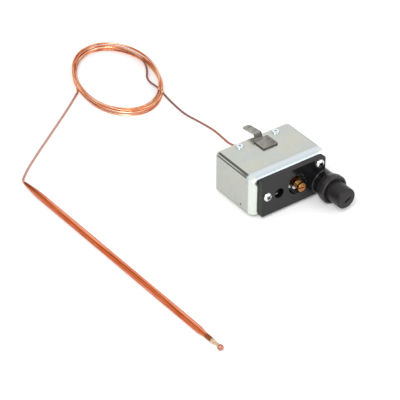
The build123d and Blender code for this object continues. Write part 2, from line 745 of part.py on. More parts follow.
def make_carrier():
    """Moulded switch base: floor, pin wall, and the rear panel that fills the can's notch."""
    right = case_width / 2 - sheet - lid_gap - lid_sheet - carrier_side_gap
    body = slab(carrier_left, right, carrier_front_y, inner_rear_y - clear_gap, carrier_foot, floor_top_z)
    body = fillet(body.edges().filter_by(Axis.Z), 0.8)
    body += slab(wall_left, wall_right, wall_front_y, wall_rear_y, floor_top_z, wall_top)
    body += slab(panel_left, panel_right, panel_rear_y - panel_sheet, panel_rear_y, carrier_foot, panel_top)
    body -= rod_z(post_radius + seat_gap, carrier_foot + 1, floor_top_z + 1, post_x, post_y)
    body -= rod_y(transfer_radius + running, wall_front_y - 1, wall_rear_y + 1, transfer_x, reset_z)
    side = terminal_1_x - seat_gap
    low = reset_z - 3 - seat_gap
    body -= slab(side, side + blade_sheet + 2 * seat_gap, panel_rear_y - panel_sheet - 1, rear_y,
                 low, low + blade_width + 2 * seat_gap)
    left = terminal_2_x - seat_gap
    return body - slab(left, left + blade_width + 2 * seat_gap, panel_rear_y - panel_sheet - 1, rear_y,
                       wall_top - seat_gap, wall_top + blade_sheet + seat_gap)


def make_pivot_post():
    head_z = wall_top + blade_sheet
    post = rod_z(post_radius, carrier_foot + 1 + seat_gap, head_z + 0.1, post_x, post_y)
    return post + rod_z(post_head_radius, head_z, head_z + post_head_height, post_x, post_y)


def make_contact_arm():
    """Sheet arm that swings on the post, with an eye at one end."""
    low = reset_z - arm_height / 2
    eye_z = floor_top_z + 0.6
    arm = rod_z(arm_eye_radius, eye_z, eye_z + arm_eye_height, post_x, post_y)
    arm += slab(post_x + arm_eye_radius - 0.8, post_x + arm_length, arm_front_y, arm_rear_y, low,
                low + arm_height)
    return arm - rod_z(post_radius + running, eye_z - 1, eye_z + arm_eye_height + 1, post_x, post_y)


def make_moving_contact():
    end_y = arm_rear_y + contact_height
    return turned_y([(0, arm_rear_y), (moving_contact_radius, arm_rear_y),
                     (moving_contact_radius, end_y - 0.3), (moving_contact_radius - 0.5, end_y),
                     (0, end_y)], contact_x, reset_z)


def make_fixed_contact():
    return turned_y([(0, fixed_contact_y), (fixed_contact_radius - 0.5, fixed_contact_y),
                     (fixed_contact_radius, fixed_contact_y + 0.3), (fixed_contact_radius, terminal_front_y),
                     (0, terminal_front_y)], contact_x, reset_z)


def make_terminal_1():
    """Upright blade with a foot that carries the fixed contact."""
    low = reset_z - 3
    reach = rear_y + terminal_reach
    foot = slab(contact_x - 3, terminal_1_x + blade_sheet, terminal_front_y, wall_front_y, low,
                low + blade_width)
    upright = Rot(0, -90, 0) * Pos(blade_width / 2, 0, 0) * blade(reach - terminal_front_y)
    return foot + Pos(terminal_1_x + blade_sheet, terminal_front_y, low) * upright


def make_terminal_2():
    """Flat blade riveted under the post's head."""
    reach = rear_y + terminal_reach
    left = post_x - post_head_radius
    land = slab(left, terminal_2_x + blade_width, post_y - post_head_radius, wall_rear_y, wall_top,
                wall_top + blade_sheet)
    land = fillet(land.edges().filter_by(Axis.Z).group_by(Axis.X)[0], 1)
    flat = Pos(terminal_2_x + blade_width / 2, wall_front_y, wall_top) * blade(reach - wall_front_y)
    return land + flat - rod_z(post_radius + seat_gap, wall_top - 1, wall_top + 2, post_x, post_y)


def make_contact_spring():
    """Light coil spring round the post between the arm's eye and the terminal."""
    low = floor_top_z + 0.6 + arm_eye_height + 0.05
    coil = spring_z(post_radius + 0.2 + contact_wire / 2, contact_wire, 2, wall_top - low - 0.05)
    return Pos(post_x, post_y, low) * coil


def make_transfer_pin():
    y0 = arm_rear_y + tip_gap
    y1 = lever_front_y - tip_gap
    pin = rod_y(transfer_radius, y0, y1, transfer_x, reset_z)
    return fillet(pin.edges().filter_by(GeomType.CIRCLE), transfer_radius * 0.6)


def bulb_place():
    return Pos(bulb_start_x, bulb_start_y, bulb_z) * Rot(0, 0, bulb_turn)


def along_bulb(profile):
    """A piece turned about the bulb's axis from (radius, distance from the tip's end) points."""
    points = [(r, -s) for r, s in profile]
    return bulb_place() * revolve(make_face(Polyline(*points, close=True)), Axis.Y)


def bulb_stations():
    shoulder = bulb_length + shoulder_length
    neck = shoulder + neck_length
    ring = neck + ring_length
    return shoulder, neck, ring, ring + stub_length


def make_bulb():
    """Copper bulb: swaged tip, long body, shoulder and neck; hollow, and open at the neck."""
    shoulder, neck, ring, stub = bulb_stations()
    wall = bulb_radius - bulb_wall
    return along_bulb([(0, -tip_reach), (bulb_tip_radius, -tip_reach), (1.25, 0.5),
                       (1.7, bulb_taper * 0.32), (2.1, bulb_taper * 0.66), (bulb_radius, bulb_taper),
                       (bulb_radius, bulb_length), (bulb_radius - 0.25, bulb_length + 1.6),
                       (neck_radius + 0.15, shoulder - 1.2), (neck_radius, shoulder), (neck_radius, neck),
                       (stub_radius, neck), (stub_radius, shoulder), (wall, bulb_length - 1),
                       (wall, bulb_taper + 4), (0, bulb_taper + 1)])


def make_braze_ring():
    shoulder, neck, ring, stub = bulb_stations()
    return along_bulb([(stub_radius, neck), (ring_radius, neck), (ring_radius, ring - 0.4),
                       (stub_radius, ring)])


def make_filling_stub():
    shoulder, neck, ring, stub = bulb_stations()
    return along_bulb([(0, shoulder + 1), (stub_radius, shoulder + 1), (stub_radius, stub), (0, stub)])


def make_sealing_ball():
    shoulder, neck, ring, stub = bulb_stations()
    seat = math.sqrt(ball_radius ** 2 - stub_radius ** 2)
    ball = Sphere(ball_radius)
    cut = Pos(0, ball_radius + seat, 0) * Box(2 * ball_radius, 2 * ball_radius, 2 * ball_radius)
    return bulb_place() * Pos(0, -stub - seat, 0) * (ball - cut)


def make_tube(points, name):
    """Round tube of straight runs and arcs; each arc takes 0.45 of its shorter run."""
    radii = []
    length = 0
    for before, corner, after in zip(points, points[1:], points[2:]):
        run_in = Vector(corner) - Vector(before)
        run_out = Vector(after) - Vector(corner)
        turn = run_in.get_angle(run_out)
        shorter = min(run_in.length, run_out.length)
        radii.append(0.45 * shorter / math.tan(math.radians(turn / 2)))
    path = FilletPolyline(*[Vector(p) for p in points], radius=radii)
    length = path.length
    section = Plane(origin=path @ 0, z_dir=path % 0) * Circle(capillary_radius)
    tube = sweep(section, path=path)
    print(name, "radii", [round(r, 1) for r in radii], "length", round(length, 1), "volume",
          round(tube.volume, 2), "expected", round(math.pi * capillary_radius ** 2 * length, 2))
    return tube


def make_coil():
    """The outer shape of the capillary's flat oval coil."""
    outer = Ellipse(coil_outer_a, coil_outer_b)
    inner = Ellipse(coil_outer_a - coil_band, coil_outer_b - coil_band)
    ring = extrude(outer - inner, coil_height)
    ring = fillet(ring.edges(), coil_edge_radius)
    return Pos(coil_centre_x, coil_centre_y, floor_z) * Rot(0, 0, coil_turn) * ring


def write(name, shape):
    export_step(shape, "parts/" + name + ".step")


write("case_shell", make_case_shell())
write("base_plate", make_base_plate())
write("front_plate", make_front_plate())
write("front_screw_left", make_front_screw(left_screw_x, left_screw_z))
write("front_screw_right", make_front_screw(right_screw_x, right_screw_z))
write("rivets", make_rivets())
write("earth_tab", make_earth_tab())
write("adjusting_screw", make_adjusting_screw())
write("adjusting_spring", make_adjusting_spring())
write("adjusting_bush", make_adjust_bush())
write("spring_seat", make_spring_seat())
write("range_spring", make_range_spring())
write("stop_screw", make_stop_screw())
write("reset_collar", make_reset_collar())
write("reset_cap", make_reset_cap())
write("reset_stem", make_reset_stem())
write("reset_spring", make_reset_spring())
write("stem_clip", make_stem_clip())
write("switch_frame", make_switch_frame())
write("pivot_pin", make_pivot_pin())
write("sensing_lever", make_sensing_lever())
write("capsule", make_capsule())
write("push_pad", make_push_pad())
write("stud_nut", make_stud_nut())
write("capillary_ferrule", make_ferrule())
write("switch_carrier", make_carrier())
write("pivot_post", make_pivot_post())
write("contact_arm", make_contact_arm())
write("moving_contact", make_moving_contact())
write("fixed_contact", make_fixed_contact())
write("contact_spring", make_contact_spring())
write("transfer_pin", make_transfer_pin())
write("terminal_1", make_terminal_1())
write("terminal_2", make_terminal_2())
write("bulb", make_bulb())
write("braze_ring", make_braze_ring())
write("filling_stub", make_filling_stub())
write("sealing_ball", make_sealing_ball())
write("capillary_lead", make_tube(case_lead_points, "capillary_lead"))
write("capillary_coil", make_coil())
write("bulb_lead", make_tube(bulb_lead_points, "bulb_lead"))
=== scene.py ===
import math
from functools import reduce

import bpy
from mathutils import Matrix, Vector


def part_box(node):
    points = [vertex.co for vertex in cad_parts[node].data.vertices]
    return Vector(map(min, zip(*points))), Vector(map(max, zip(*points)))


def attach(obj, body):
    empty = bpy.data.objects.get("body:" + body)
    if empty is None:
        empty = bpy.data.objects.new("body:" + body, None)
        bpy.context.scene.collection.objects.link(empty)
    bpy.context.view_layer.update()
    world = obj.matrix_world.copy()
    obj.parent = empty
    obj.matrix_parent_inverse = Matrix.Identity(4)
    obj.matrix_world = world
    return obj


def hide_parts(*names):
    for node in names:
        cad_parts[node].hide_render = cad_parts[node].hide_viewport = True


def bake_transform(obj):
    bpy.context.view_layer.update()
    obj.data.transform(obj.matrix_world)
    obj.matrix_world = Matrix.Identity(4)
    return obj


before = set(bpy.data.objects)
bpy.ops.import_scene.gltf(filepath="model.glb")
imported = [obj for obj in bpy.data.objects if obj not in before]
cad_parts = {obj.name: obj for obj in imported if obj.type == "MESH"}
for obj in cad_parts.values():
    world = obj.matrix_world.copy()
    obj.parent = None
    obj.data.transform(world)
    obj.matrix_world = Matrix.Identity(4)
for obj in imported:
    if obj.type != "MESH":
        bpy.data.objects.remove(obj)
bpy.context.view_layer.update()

bl_info = {
    "name": "High limit thermostat",
    "version": (1, 0, 0),
    "blender": (4, 5, 0),
    "location": "View3D > Sidebar > Thermostat",
    "description": "Dresses a manual-reset high limit thermostat with its bulb and coiled capillary",
    "category": "Object",
}

MM = 0.001

# Heights in millimetres: the floor, and the middle of the capillary where it lies on the floor
FLOOR_Z = -2.7
CAPILLARY_Z = -1.9

# Sizes and places of the CAD model that the finishes follow, in metres
CAN_HALF_WIDTH = 0.03175
CAN_HEIGHT = 0.03
CAN_EDGE_RADIUS = 0.0025
PINHOLE_YZ = (-0.0088, 0.0032)
RIVETS_XY = [(-0.0144, 0.0161), (0.0168, 0.0161)]
BULB_END = (-0.1361, 0.1009, -0.00032)
BULB_TURN = math.radians(1.9)

# Middle and radius of the front plate's two access holes, in metres
ACCESS_HOLES_XZ = [((0.004, 0.0149), 0.0079), ((-0.0118, 0.0139), 0.0038)]

# Zones of the can's surface, in metres; a mask changes between the two numbers of each
SIDE_FACE_X = (CAN_HALF_WIDTH - 0.0001, CAN_HALF_WIDTH - 0.00005)
LEFT_SIDE_X = (-0.0305, -0.03)
FRONT_FACE_Y = (-0.02142, -0.02138)
BOTTOM_EDGE_Z = (0.0002, 0.0007)
TOP_BEND_Y = (-0.0146, -0.0138)
TOP_BEND_Z = (0.0226, 0.0246)
TOP_REFLECTION_Z = (0.0225, CAN_HEIGHT)
FRONT_BEND_Y = (-0.0172, -0.0164)
FRONT_BEND_X = (0.0268, 0.0271)
REAR_BEND_Y = (0.0192, 0.02)
REAR_BEND_X = (0.0292, 0.03)
RULES_Y = (-0.0158, -0.0112)
RULES_Z = (0.0285, 0.029)
EDGE_REFLECTIONS_Y = (-0.0155, 0.0195)
EDGE_REFLECTIONS_MERGE_Y = (-0.012, -0.002)
EDGE_REFLECTIONS_FADE_X = (0.0, 0.001)

# Squared distances from the pinhole, in square metres, between which its stain fades
STAIN_SPREAD = (0.0000003, 0.0000009)

# Angles of the two painted dark reflection lines round the can's top edge: 0 at the top, a quarter turn at
# the side
FIRST_DARK_REFLECTION = (-0.05, 0.84)
SECOND_DARK_REFLECTION = (0.98, 1.62)
MERGED_DARK_REFLECTION = (0.2, 1.5)

# Zones of the smaller pieces, in metres
HOLE_WALL_Y = (-0.0256, -0.0254)
FRAME_GLINT_X = (0.0022, 0.0082)
FRAME_GLINT_Z = (0.0052, 0.0128)
FRAME_FRONT_Y = (-0.0193, -0.0191)
BUSH_GLINT_X = (0.0062, 0.0068)
BUSH_GLINT_Z = (0.0128, 0.0138)
SLOT_GLINT_X = (-0.0138, -0.0108)
SLOT_GLINT_Z = (0.0116, 0.0126)
TAB_TINT_Y = (0.0085, 0.0105)
TAB_PLATE_Z = (0.0312, 0.0314)
TAB_RISER_Y = (0.0144, 0.0172)
TAB_RISER_Z = (0.0312, 0.0316)
TAB_LEFT_TO_RIGHT_X = (-0.003, 0.008)
TAB_FRONT_RIM_Y = (0.0031, 0.0036)
TAB_LEFT_RIM_X = (-0.0034, -0.003)
TAB_RIM_Z = (0.0306, 0.0311)

# Zones of the copper: metres along the axes, squared distance out with 1 on the oval, and an angle
INSIDE_OVAL = (0.86, 0.91)
OUTSIDE_OVAL = (1.12, 1.18)
CASE_LEAD_Y = (0.147, 0.148)
CASE_LEAD_X = (-0.008, -0.006)
CASE_LEAD_REDDER_Y = (0.06, 0.1)
BULB_LEAD_X = (-0.044, -0.041)
BULB_NECK_Y = (-0.2055, -0.2035)
BULB_LEAD_END_Y = (-0.03, -0.004)
BULB_LEAD_END_ANGLE = (-1.3, 0.35)

# The colour that bare copper mirrors at its edges
COPPER_EDGE = (0.62, 0.3, 0.2, 1)
SPRING_STEEL = (0.42, 0.42, 0.41)

# Noise scales of the fine streaks on drawn zinc plate
DRAWING_STREAKS = (60, 1400, 60)

# Where the lamps aim, and how far the floor reaches from the middle, in metres
LAMP_AIM = (-0.03, 0.03, 0)
FLOOR_REACH = 6

# The capillary's listed route: from the ferrule to the coil, and from the coil to the bulb
CASE_LEAD = [
    (-1.5, 28.5, 14.4), (-1.5, 33.5, 14.4), (-3.6, 42.6, 13.4), (-2.1, 51.8, 12.4), (-0.2, 64.3, 11.0),
    (0.2, 77.0, 9.2), (0.1, 89.3, 7.3), (-0.4, 101.6, 5.6), (1.6, 116.9, 4.3), (3.7, 131.1, 3.5),
    (5.9, 141.2, 3.4), (6.5, 148.8, 2.9), (6.4, 156.2, 2.3), (8.5, 163.9, 1.7), (14.7, 172.1, 1.3),
    (18.8, 180.0, 1.2), (21.4, 187.7, 1.2), (22.0, 194.3, 1.3),
]
BULB_LEAD = [
    (-39.7, 184.0, -1.9), (-46.2, 178.6, -1.9), (-59.3, 167.8, -1.9), (-83.0, 149.9, -1.9),
    (-111.6, 128.5, -1.9), (-125.6, 117.3, -1.9), (-132.4, 110.6, -1.5), (-136.27, 105.9, -0.32),
    (-136.17, 102.9, -0.32),
]


class StageSettings(bpy.types.PropertyGroup):
    azimuth: bpy.props.FloatProperty(
        name="Camera azimuth", description="Direction of the view, from straight at the front plate",
        default=math.radians(-35.73), subtype="ANGLE", unit="ROTATION")
    elevation: bpy.props.FloatProperty(
        name="Camera elevation", description="Height of the view above the horizon",
        default=math.radians(36.11), subtype="ANGLE", unit="ROTATION")
    distance: bpy.props.FloatProperty(
        name="Camera distance", description="From the camera to the point it aims at",
        default=1.25, subtype="DISTANCE", unit="LENGTH")
    lens: bpy.props.FloatProperty(
        name="Lens", description="Focal length for a 36 mm wide sensor", default=163.43)
    aim: bpy.props.FloatVectorProperty(
        name="Aim", description="Point at the middle of the picture", size=3,
        default=(-0.048975, 0.014813, 0.0), subtype="TRANSLATION", unit="LENGTH")
    sky: bpy.props.FloatProperty(
        name="Sky", description="Strength of the even white light from all round", default=0.72, min=0)
    key: bpy.props.FloatProperty(
        name="Key light", description="Power of the large soft lamp above the left", default=9.0, min=0)
    floor_glow: bpy.props.FloatProperty(
        name="Floor glow", description="White that the floor adds where it is seen or mirrored",
        default=0.16, min=0)
    floor_colour: bpy.props.FloatVectorProperty(
        name="Floor colour", description="Colour of the floor", size=3, default=(0.9, 0.9, 0.9),
        subtype="COLOR", min=0, max=1)


class CapillarySettings(bpy.types.PropertyGroup):
    diameter: bpy.props.FloatProperty(
        name="Diameter", description="Outer diameter of the capillary", default=0.0016,
        subtype="DISTANCE", unit="LENGTH")
    turns: bpy.props.FloatProperty(
        name="Turns", description="Turns in the oval coil", default=4.42, min=1)
    centre: bpy.props.FloatVectorProperty(
        name="Coil centre", description="Middle of the coil on the floor, in millimetres", size=2,
        default=(-8.8, 177.8))
    half_axes: bpy.props.FloatVectorProperty(
        name="Coil half axes", description="Half axes of the pile's middle line, in millimetres", size=2,
        default=(30.8, 47.6))
    lean: bpy.props.FloatProperty(
        name="Coil lean", description="Turn of the oval on the floor", default=math.radians(-14.5),
        subtype="ANGLE", unit="ROTATION")
    colour: bpy.props.FloatVectorProperty(
        name="Copper", description="Main colour of the copper", size=3, default=(0.78, 0.25, 0.11),
        subtype="COLOR", min=0, max=1)


class FinishSettings(bpy.types.PropertyGroup):
    zinc: bpy.props.FloatVectorProperty(
        name="Zinc", description="Main colour of the zinc-plated can", size=3,
        default=(0.6, 0.615, 0.56), subtype="COLOR", min=0, max=1)
    moulding: bpy.props.FloatVectorProperty(
        name="Moulding", description="Colour of the front plate", size=3,
        default=(0.006, 0.006, 0.0068), subtype="COLOR", min=0, max=1)
    button: bpy.props.FloatVectorProperty(
        name="Button", description="Colour of the reset button", size=3,
        default=(0.015, 0.0135, 0.0145), subtype="COLOR", min=0, max=1)
    brass: bpy.props.FloatVectorProperty(
        name="Brass", description="Colour of the adjusting screw", size=3,
        default=(0.42, 0.18, 0.058), subtype="COLOR", min=0, max=1)
    tab_steel: bpy.props.FloatVectorProperty(
        name="Tab steel", description="Colour of the earth tab", size=3,
        default=(0.36, 0.355, 0.33), subtype="COLOR", min=0, max=1)


def dress(names, material):
    """Gives CAD nodes one material, on every slot they have."""
    for name in names:
        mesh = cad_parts[name].data
        mesh.materials.clear()
        mesh.materials.append(material)
        for face in mesh.polygons:
            face.material_index = 0


class Finish:
    """One procedural material: its node tree, read by Object coordinates in metres."""

    def __init__(self, name, metallic, roughness, **constants):
        self.material = bpy.data.materials.new(name)
        self.material.use_nodes = True
        self.tree = self.material.node_tree
        self.bsdf = self.tree.nodes["Principled BSDF"]
        self.bsdf.inputs["Metallic"].default_value = metallic
        self.bsdf.inputs["Roughness"].default_value = roughness
        for key, value in constants.items():
            self.bsdf.inputs[key.replace("_", " ")].default_value = value
        self.coords = self.tree.nodes.new("ShaderNodeTexCoord")

    def node(self, kind, **values):
        """A shader node; each value goes to the node's setting of that name, or else to its input."""
        made = self.tree.nodes.new("ShaderNode" + kind)
        for key, value in values.items():
            if hasattr(made, key):
                setattr(made, key, value)
            else:
                made.inputs[key.replace("_", " ")].default_value = value
        return made

    def link(self, source, target):
        self.tree.links.new(source, target)

    def noise(self, scale, detail=3.0, roughness=0.5):
        """A noise whose scale may differ along the three axes."""
        scales = scale if isinstance(scale, tuple) else (scale, scale, scale)
        mapping = self.node("Mapping", Scale=scales)
        self.link(self.coords.outputs["Object"], mapping.inputs["Vector"])
        made = self.node("TexNoise", Scale=1.0, Detail=detail, Roughness=roughness)
        self.link(mapping.outputs["Vector"], made.inputs["Vector"])
        return made.outputs["Fac"]

    def ramp(self, value, stops):
        made = self.node("ValToRGB")
        ramp = made.color_ramp
        while len(ramp.elements) < len(stops):
            ramp.elements.new(0.5)
        for element, (place, colour) in zip(ramp.elements, stops):
            element.position = place
            element.color = (*colour, 1)
        self.link(value, made.inputs["Fac"])
        return made.outputs["Color"]

    def grey(self, value, low, high, dark, light):
        """A value remapped to between dark and light."""
        made = self.node("MapRange", clamp=True)
        for key, number in (("From Min", low), ("From Max", high), ("To Min", dark), ("To Max", light)):
            made.inputs[key].default_value = number
        self.link(value, made.inputs["Value"])
        return made.outputs["Result"]

    def mix(self, factor, first, second, blend="MIX"):
        made = self.node("Mix", data_type="RGBA", blend_type=blend)
        for socket, value in ((made.inputs[0], factor), (made.inputs[6], first), (made.inputs[7], second)):
            if hasattr(value, "links"):
                self.link(value, socket)
            elif isinstance(value, (int, float)):
                socket.default_value = value
            else:
                socket.default_value = (*value, 1)
        return made.outputs[2]

    def math(self, operation, *values):
        made = self.node("Math", operation=operation)
        for socket, value in zip(made.inputs, values):
            if hasattr(value, "links"):
                self.link(value, socket)
            else:
                socket.default_value = value
        return made.outputs[0]

    def both(self, *masks):
        """Masks, or masks and a strength, multiplied together."""
        return reduce(lambda total, mask: self.math("MULTIPLY", total, mask), masks)

    def either(self, *masks):
        """The greatest of the masks."""
        return reduce(lambda total, mask: self.math("MAXIMUM", total, mask), masks)

    def axes(self):
        """The Object coordinates along X, Y and Z, in metres."""
        split = self.node("SeparateXYZ")
        self.link(self.coords.outputs["Object"], split.inputs[0])
        return split.outputs

    def above(self, value, limits):
        """0 below the first limit, rising to 1 at the second."""
        return self.grey(value, *limits, 0, 1)

    def below(self, value, limits):
        """1 below the first limit, falling to 0 at the second."""
        return self.grey(value, *limits, 1, 0)

    def within(self, value, limits, soft):
        """1 between the limits, with soft borders inside them."""
        low, high = limits
        return self.both(self.above(value, (low, low + soft)), self.below(value, (high - soft, high)))

    def squared_distance(self, first, second, place):
        """The square of the distance from a place, along two axes."""
        offsets = [self.math("SUBTRACT", axis, middle) for axis, middle in zip((first, second), place)]
        return self.math("ADD", *[self.math("MULTIPLY", offset, offset) for offset in offsets])

    def distance(self, first, second, place):
        """The distance from a place, along two axes."""
        return self.math("SQRT", self.squared_distance(first, second, place))

    def colour(self, source):
        self.link(source, self.bsdf.inputs["Base Color"])

    def rough(self, source):
        self.link(source, self.bsdf.inputs["Roughness"])

    def bump(self, height, strength, distance):
        """Adds a bump on top of the ones already made."""
        made = self.node("Bump", Strength=strength, Distance=distance)
        self.link(height, made.inputs["Height"])
        if self.bsdf.inputs["Normal"].is_linked:
            self.link(self.bsdf.inputs["Normal"].links[0].from_socket, made.inputs["Normal"])
        self.link(made.outputs["Normal"], self.bsdf.inputs["Normal"])


def seen_rays(tree):
    """1 for rays from the camera, in gloss or through glass, else 0."""
    path = tree.nodes.new("ShaderNodeLightPath")
    total = path.outputs["Is Camera Ray"]
    for kind in ("Is Glossy Ray", "Is Transmission Ray"):
        either = tree.nodes.new("ShaderNodeMath")
        either.operation = "MAXIMUM"
        tree.links.new(total, either.inputs[0])
        tree.links.new(path.outputs[kind], either.inputs[1])
        total = either.outputs[0]
    return total


def shade(colour, factor):
    return tuple(min(1.0, c * factor) for c in colour)


def zinc_finish(colour, name):
    """Zinc plate: faint warm and cool mottling, fine drawing marks, soft gloss."""
    zinc = Finish(name, 1.0, 0.34)
    patches = zinc.noise(70, 4, 0.6)
    pale = (min(1, colour[0] * 1.1), min(1, colour[1] * 1.12), colour[2] * 1.2)
    warm = zinc.ramp(patches, [(0.3, shade(colour, 0.86)), (0.5, colour), (0.72, pale)])
    specks = zinc.noise(900, 2, 0.7)
    zinc.colour(zinc.mix(zinc.grey(specks, 0.62, 0.78, 0, 0.22), warm, shade(colour, 0.55)))
    streaks = zinc.noise(DRAWING_STREAKS, 3, 0.6)
    zinc.rough(zinc.grey(streaks, 0.3, 0.75, 0.26, 0.44))
    zinc.bump(streaks, 0.06, 0.0002)
    return zinc.material


def paint_bend_reflections(zinc, base):
    """Painted reflections on the can's bends: a bluish gradient on the top front bend and paler front and
    rear vertical bends; and fine drawing lines beside the front one.
    """
    x, y, z = zinc.axes()
    side_x = zinc.math("ABSOLUTE", x)
    # painted reflection: the top front bend in a bluish gradient, brightest near the top
    top_bend_reflection = zinc.both(zinc.below(y, TOP_BEND_Y), zinc.above(z, TOP_BEND_Z))
    top_reflection = zinc.ramp(zinc.above(z, TOP_REFLECTION_Z), [
        (0.0, (0.34, 0.39, 0.43)), (0.64, (0.42, 0.48, 0.52)),
        (0.8, (0.57, 0.65, 0.69)), (0.93, (0.72, 0.8, 0.85))])
    base = zinc.mix(zinc.both(top_bend_reflection, 0.9), base, top_reflection)
    # painted reflection: the front vertical bends paler and cooler
    front_bend_reflection = zinc.both(zinc.below(y, FRONT_BEND_Y), zinc.above(side_x, FRONT_BEND_X))
    base = zinc.mix(zinc.both(front_bend_reflection, 0.85), base, (0.74, 0.79, 0.73))
    # painted highlight: the rear vertical bends paler
    rear_bend_highlight = zinc.both(zinc.above(y, REAR_BEND_Y), zinc.above(side_x, REAR_BEND_X))
    base = zinc.mix(zinc.both(rear_bend_highlight, 0.7), base, (0.84, 0.86, 0.78))

    rules = zinc.node("TexWave", wave_type="BANDS", bands_direction="Y", Scale=260.0, Distortion=0.4)
    zinc.link(zinc.coords.outputs["Object"], rules.inputs["Vector"])
    ruled = zinc.both(zinc.within(y, RULES_Y, 0.0012), zinc.above(z, RULES_Z))
    ruled = zinc.both(ruled, zinc.grey(rules.outputs["Fac"], 0.55, 0.95, 0, 0.4))
    return zinc.mix(ruled, base, (0.42, 0.46, 0.46))


def paint_edge_reflections(zinc, base):
    """Two painted dark reflections as lines on the top's rounded left edge, merged near the front, and
    faint on the right.
    """
    x, y, z = zinc.axes()
    across = zinc.math("SUBTRACT", zinc.math("ABSOLUTE", x), CAN_HALF_WIDTH - CAN_EDGE_RADIUS)
    rise = zinc.math("SUBTRACT", z, CAN_HEIGHT - CAN_EDGE_RADIUS)
    round_edge = zinc.math("ARCTAN2", across, rise)
    on_edge = zinc.both(
        zinc.above(across, (0, 0.00005)), zinc.above(rise, (0, 0.00005)),
        zinc.within(y, EDGE_REFLECTIONS_Y, 0.0016), zinc.grey(x, *EDGE_REFLECTIONS_FADE_X, 1, 0.25))
    first = zinc.within(round_edge, FIRST_DARK_REFLECTION, 0.14)
    second = zinc.within(round_edge, SECOND_DARK_REFLECTION, 0.14)
    merged = zinc.both(zinc.within(round_edge, MERGED_DARK_REFLECTION, 0.2), zinc.grey(y, *EDGE_REFLECTIONS_MERGE_Y, 0.75, 0))
    dark_reflection = zinc.both(zinc.either(first, second, merged), on_edge)
    return zinc.mix(zinc.both(dark_reflection, 0.92), base, (0.075, 0.08, 0.072))


def can_finish(colour):
    """Zinc on the can: painted reflections on the bends, painted dark reflection lines along the top's
    rounded sides, side faces painted darker as shade, darker along the bottom edge, and a stained pinhole.
    """
    zinc = Finish("can_zinc", 1.0, 0.3)
    x, y, z = zinc.axes()
    cool = (colour[0] * 0.93, colour[1] * 0.97, colour[2] * 1.04)
    warm = (min(1, colour[0] * 1.04), colour[1] * 1.01, colour[2] * 0.95)
    base = zinc.ramp(zinc.noise((55, 90, 90), 4, 0.6), [(0.34, cool), (0.5, colour), (0.68, warm)])
    smears = zinc.noise((260, 60, 420), 3, 0.65)
    base = zinc.mix(zinc.grey(smears, 0.55, 0.8, 0, 0.3), base, shade(colour, 1.25))
    # painted shade: the side faces darker than the top
    shaded_sides = zinc.above(zinc.math("ABSOLUTE", x), SIDE_FACE_X)
    base = zinc.mix(zinc.both(shaded_sides, 0.55), base, shade(colour, 0.6))
    base = paint_bend_reflections(zinc, base)
    base = paint_edge_reflections(zinc, base)
    # darker along the bottom edge
    base = zinc.mix(zinc.grey(z, *BOTTOM_EDGE_Z, 0.5, 0), base, (0.2, 0.2, 0.17))
    stain = zinc.both(zinc.below(zinc.squared_distance(y, z, PINHOLE_YZ), STAIN_SPREAD),
                      zinc.below(x, LEFT_SIDE_X))
    zinc.colour(zinc.mix(stain, base, (0.14, 0.075, 0.04)))

    streaks = zinc.noise(DRAWING_STREAKS, 3, 0.6)
    satin = zinc.grey(streaks, 0.3, 0.75, 0.22, 0.36)
    front_gloss = zinc.grey(zinc.below(y, FRONT_FACE_Y), 0, 1, 1, 0.3)
    zinc.rough(zinc.both(satin, front_gloss))
    zinc.bump(streaks, 0.05, 0.0002)
    zinc.bump(zinc.noise(45, 2), 0.12, 0.0006)
    return zinc.material


def frame_finish():
    """Zinc of the switch frame painted dark as shade inside the can, with a painted glint where it shows in
    the adjuster's hole.
    """
    zinc = Finish("shaded_frame_zinc", 1.0, 0.34)
    x, y, z = zinc.axes()
    # painted shade: the frame's zinc made dark
    shaded_zinc = zinc.ramp(zinc.noise(70, 4, 0.6), [(0.3, (0.085, 0.085, 0.08)), (0.7, (0.11, 0.11, 0.105))])
    # painted glint on the frame's front, seen through the adjuster's hole
    frame_glint = zinc.both(zinc.within(x, FRAME_GLINT_X, 0.0008), zinc.within(z, FRAME_GLINT_Z, 0.0008))
    frame_glint = zinc.both(frame_glint, zinc.below(y, FRAME_FRONT_Y))
    zinc.colour(zinc.mix(frame_glint, shaded_zinc, (0.78, 0.78, 0.82)))
    zinc.rough(zinc.grey(zinc.noise(DRAWING_STREAKS, 3, 0.6), 0.3, 0.75, 0.26, 0.44))
    return zinc.material


def rivet_finish():
    """Zinc rivet heads with painted light: painted shade in the dark dimple and round the grey shoulder,
    and a pale blue painted highlight ring between.
    """
    rivet = Finish("rivet_zinc", 1.0, 0.3)
    x, y, _ = rivet.axes()
    radii = [rivet.distance(x, y, place) for place in RIVETS_XY]
    lit_rings = rivet.grey(rivet.math("MINIMUM", *radii), 0, 0.004, 0, 1)
    # painted shade in the dimple, a painted highlight ring, painted shade at the shoulder
    rivet.colour(rivet.ramp(lit_rings, [
        (0.0, (0.2, 0.21, 0.22)), (0.2, (0.3, 0.32, 0.33)), (0.26, (0.9, 0.93, 0.95)),
        (0.55, (0.86, 0.93, 0.96)), (0.66, (0.45, 0.52, 0.54)), (0.78, (0.62, 0.68, 0.68))]))
    rivet.rough(rivet.grey(rivet.noise(1400, 3), 0.3, 0.7, 0.2, 0.4))
    return rivet.material


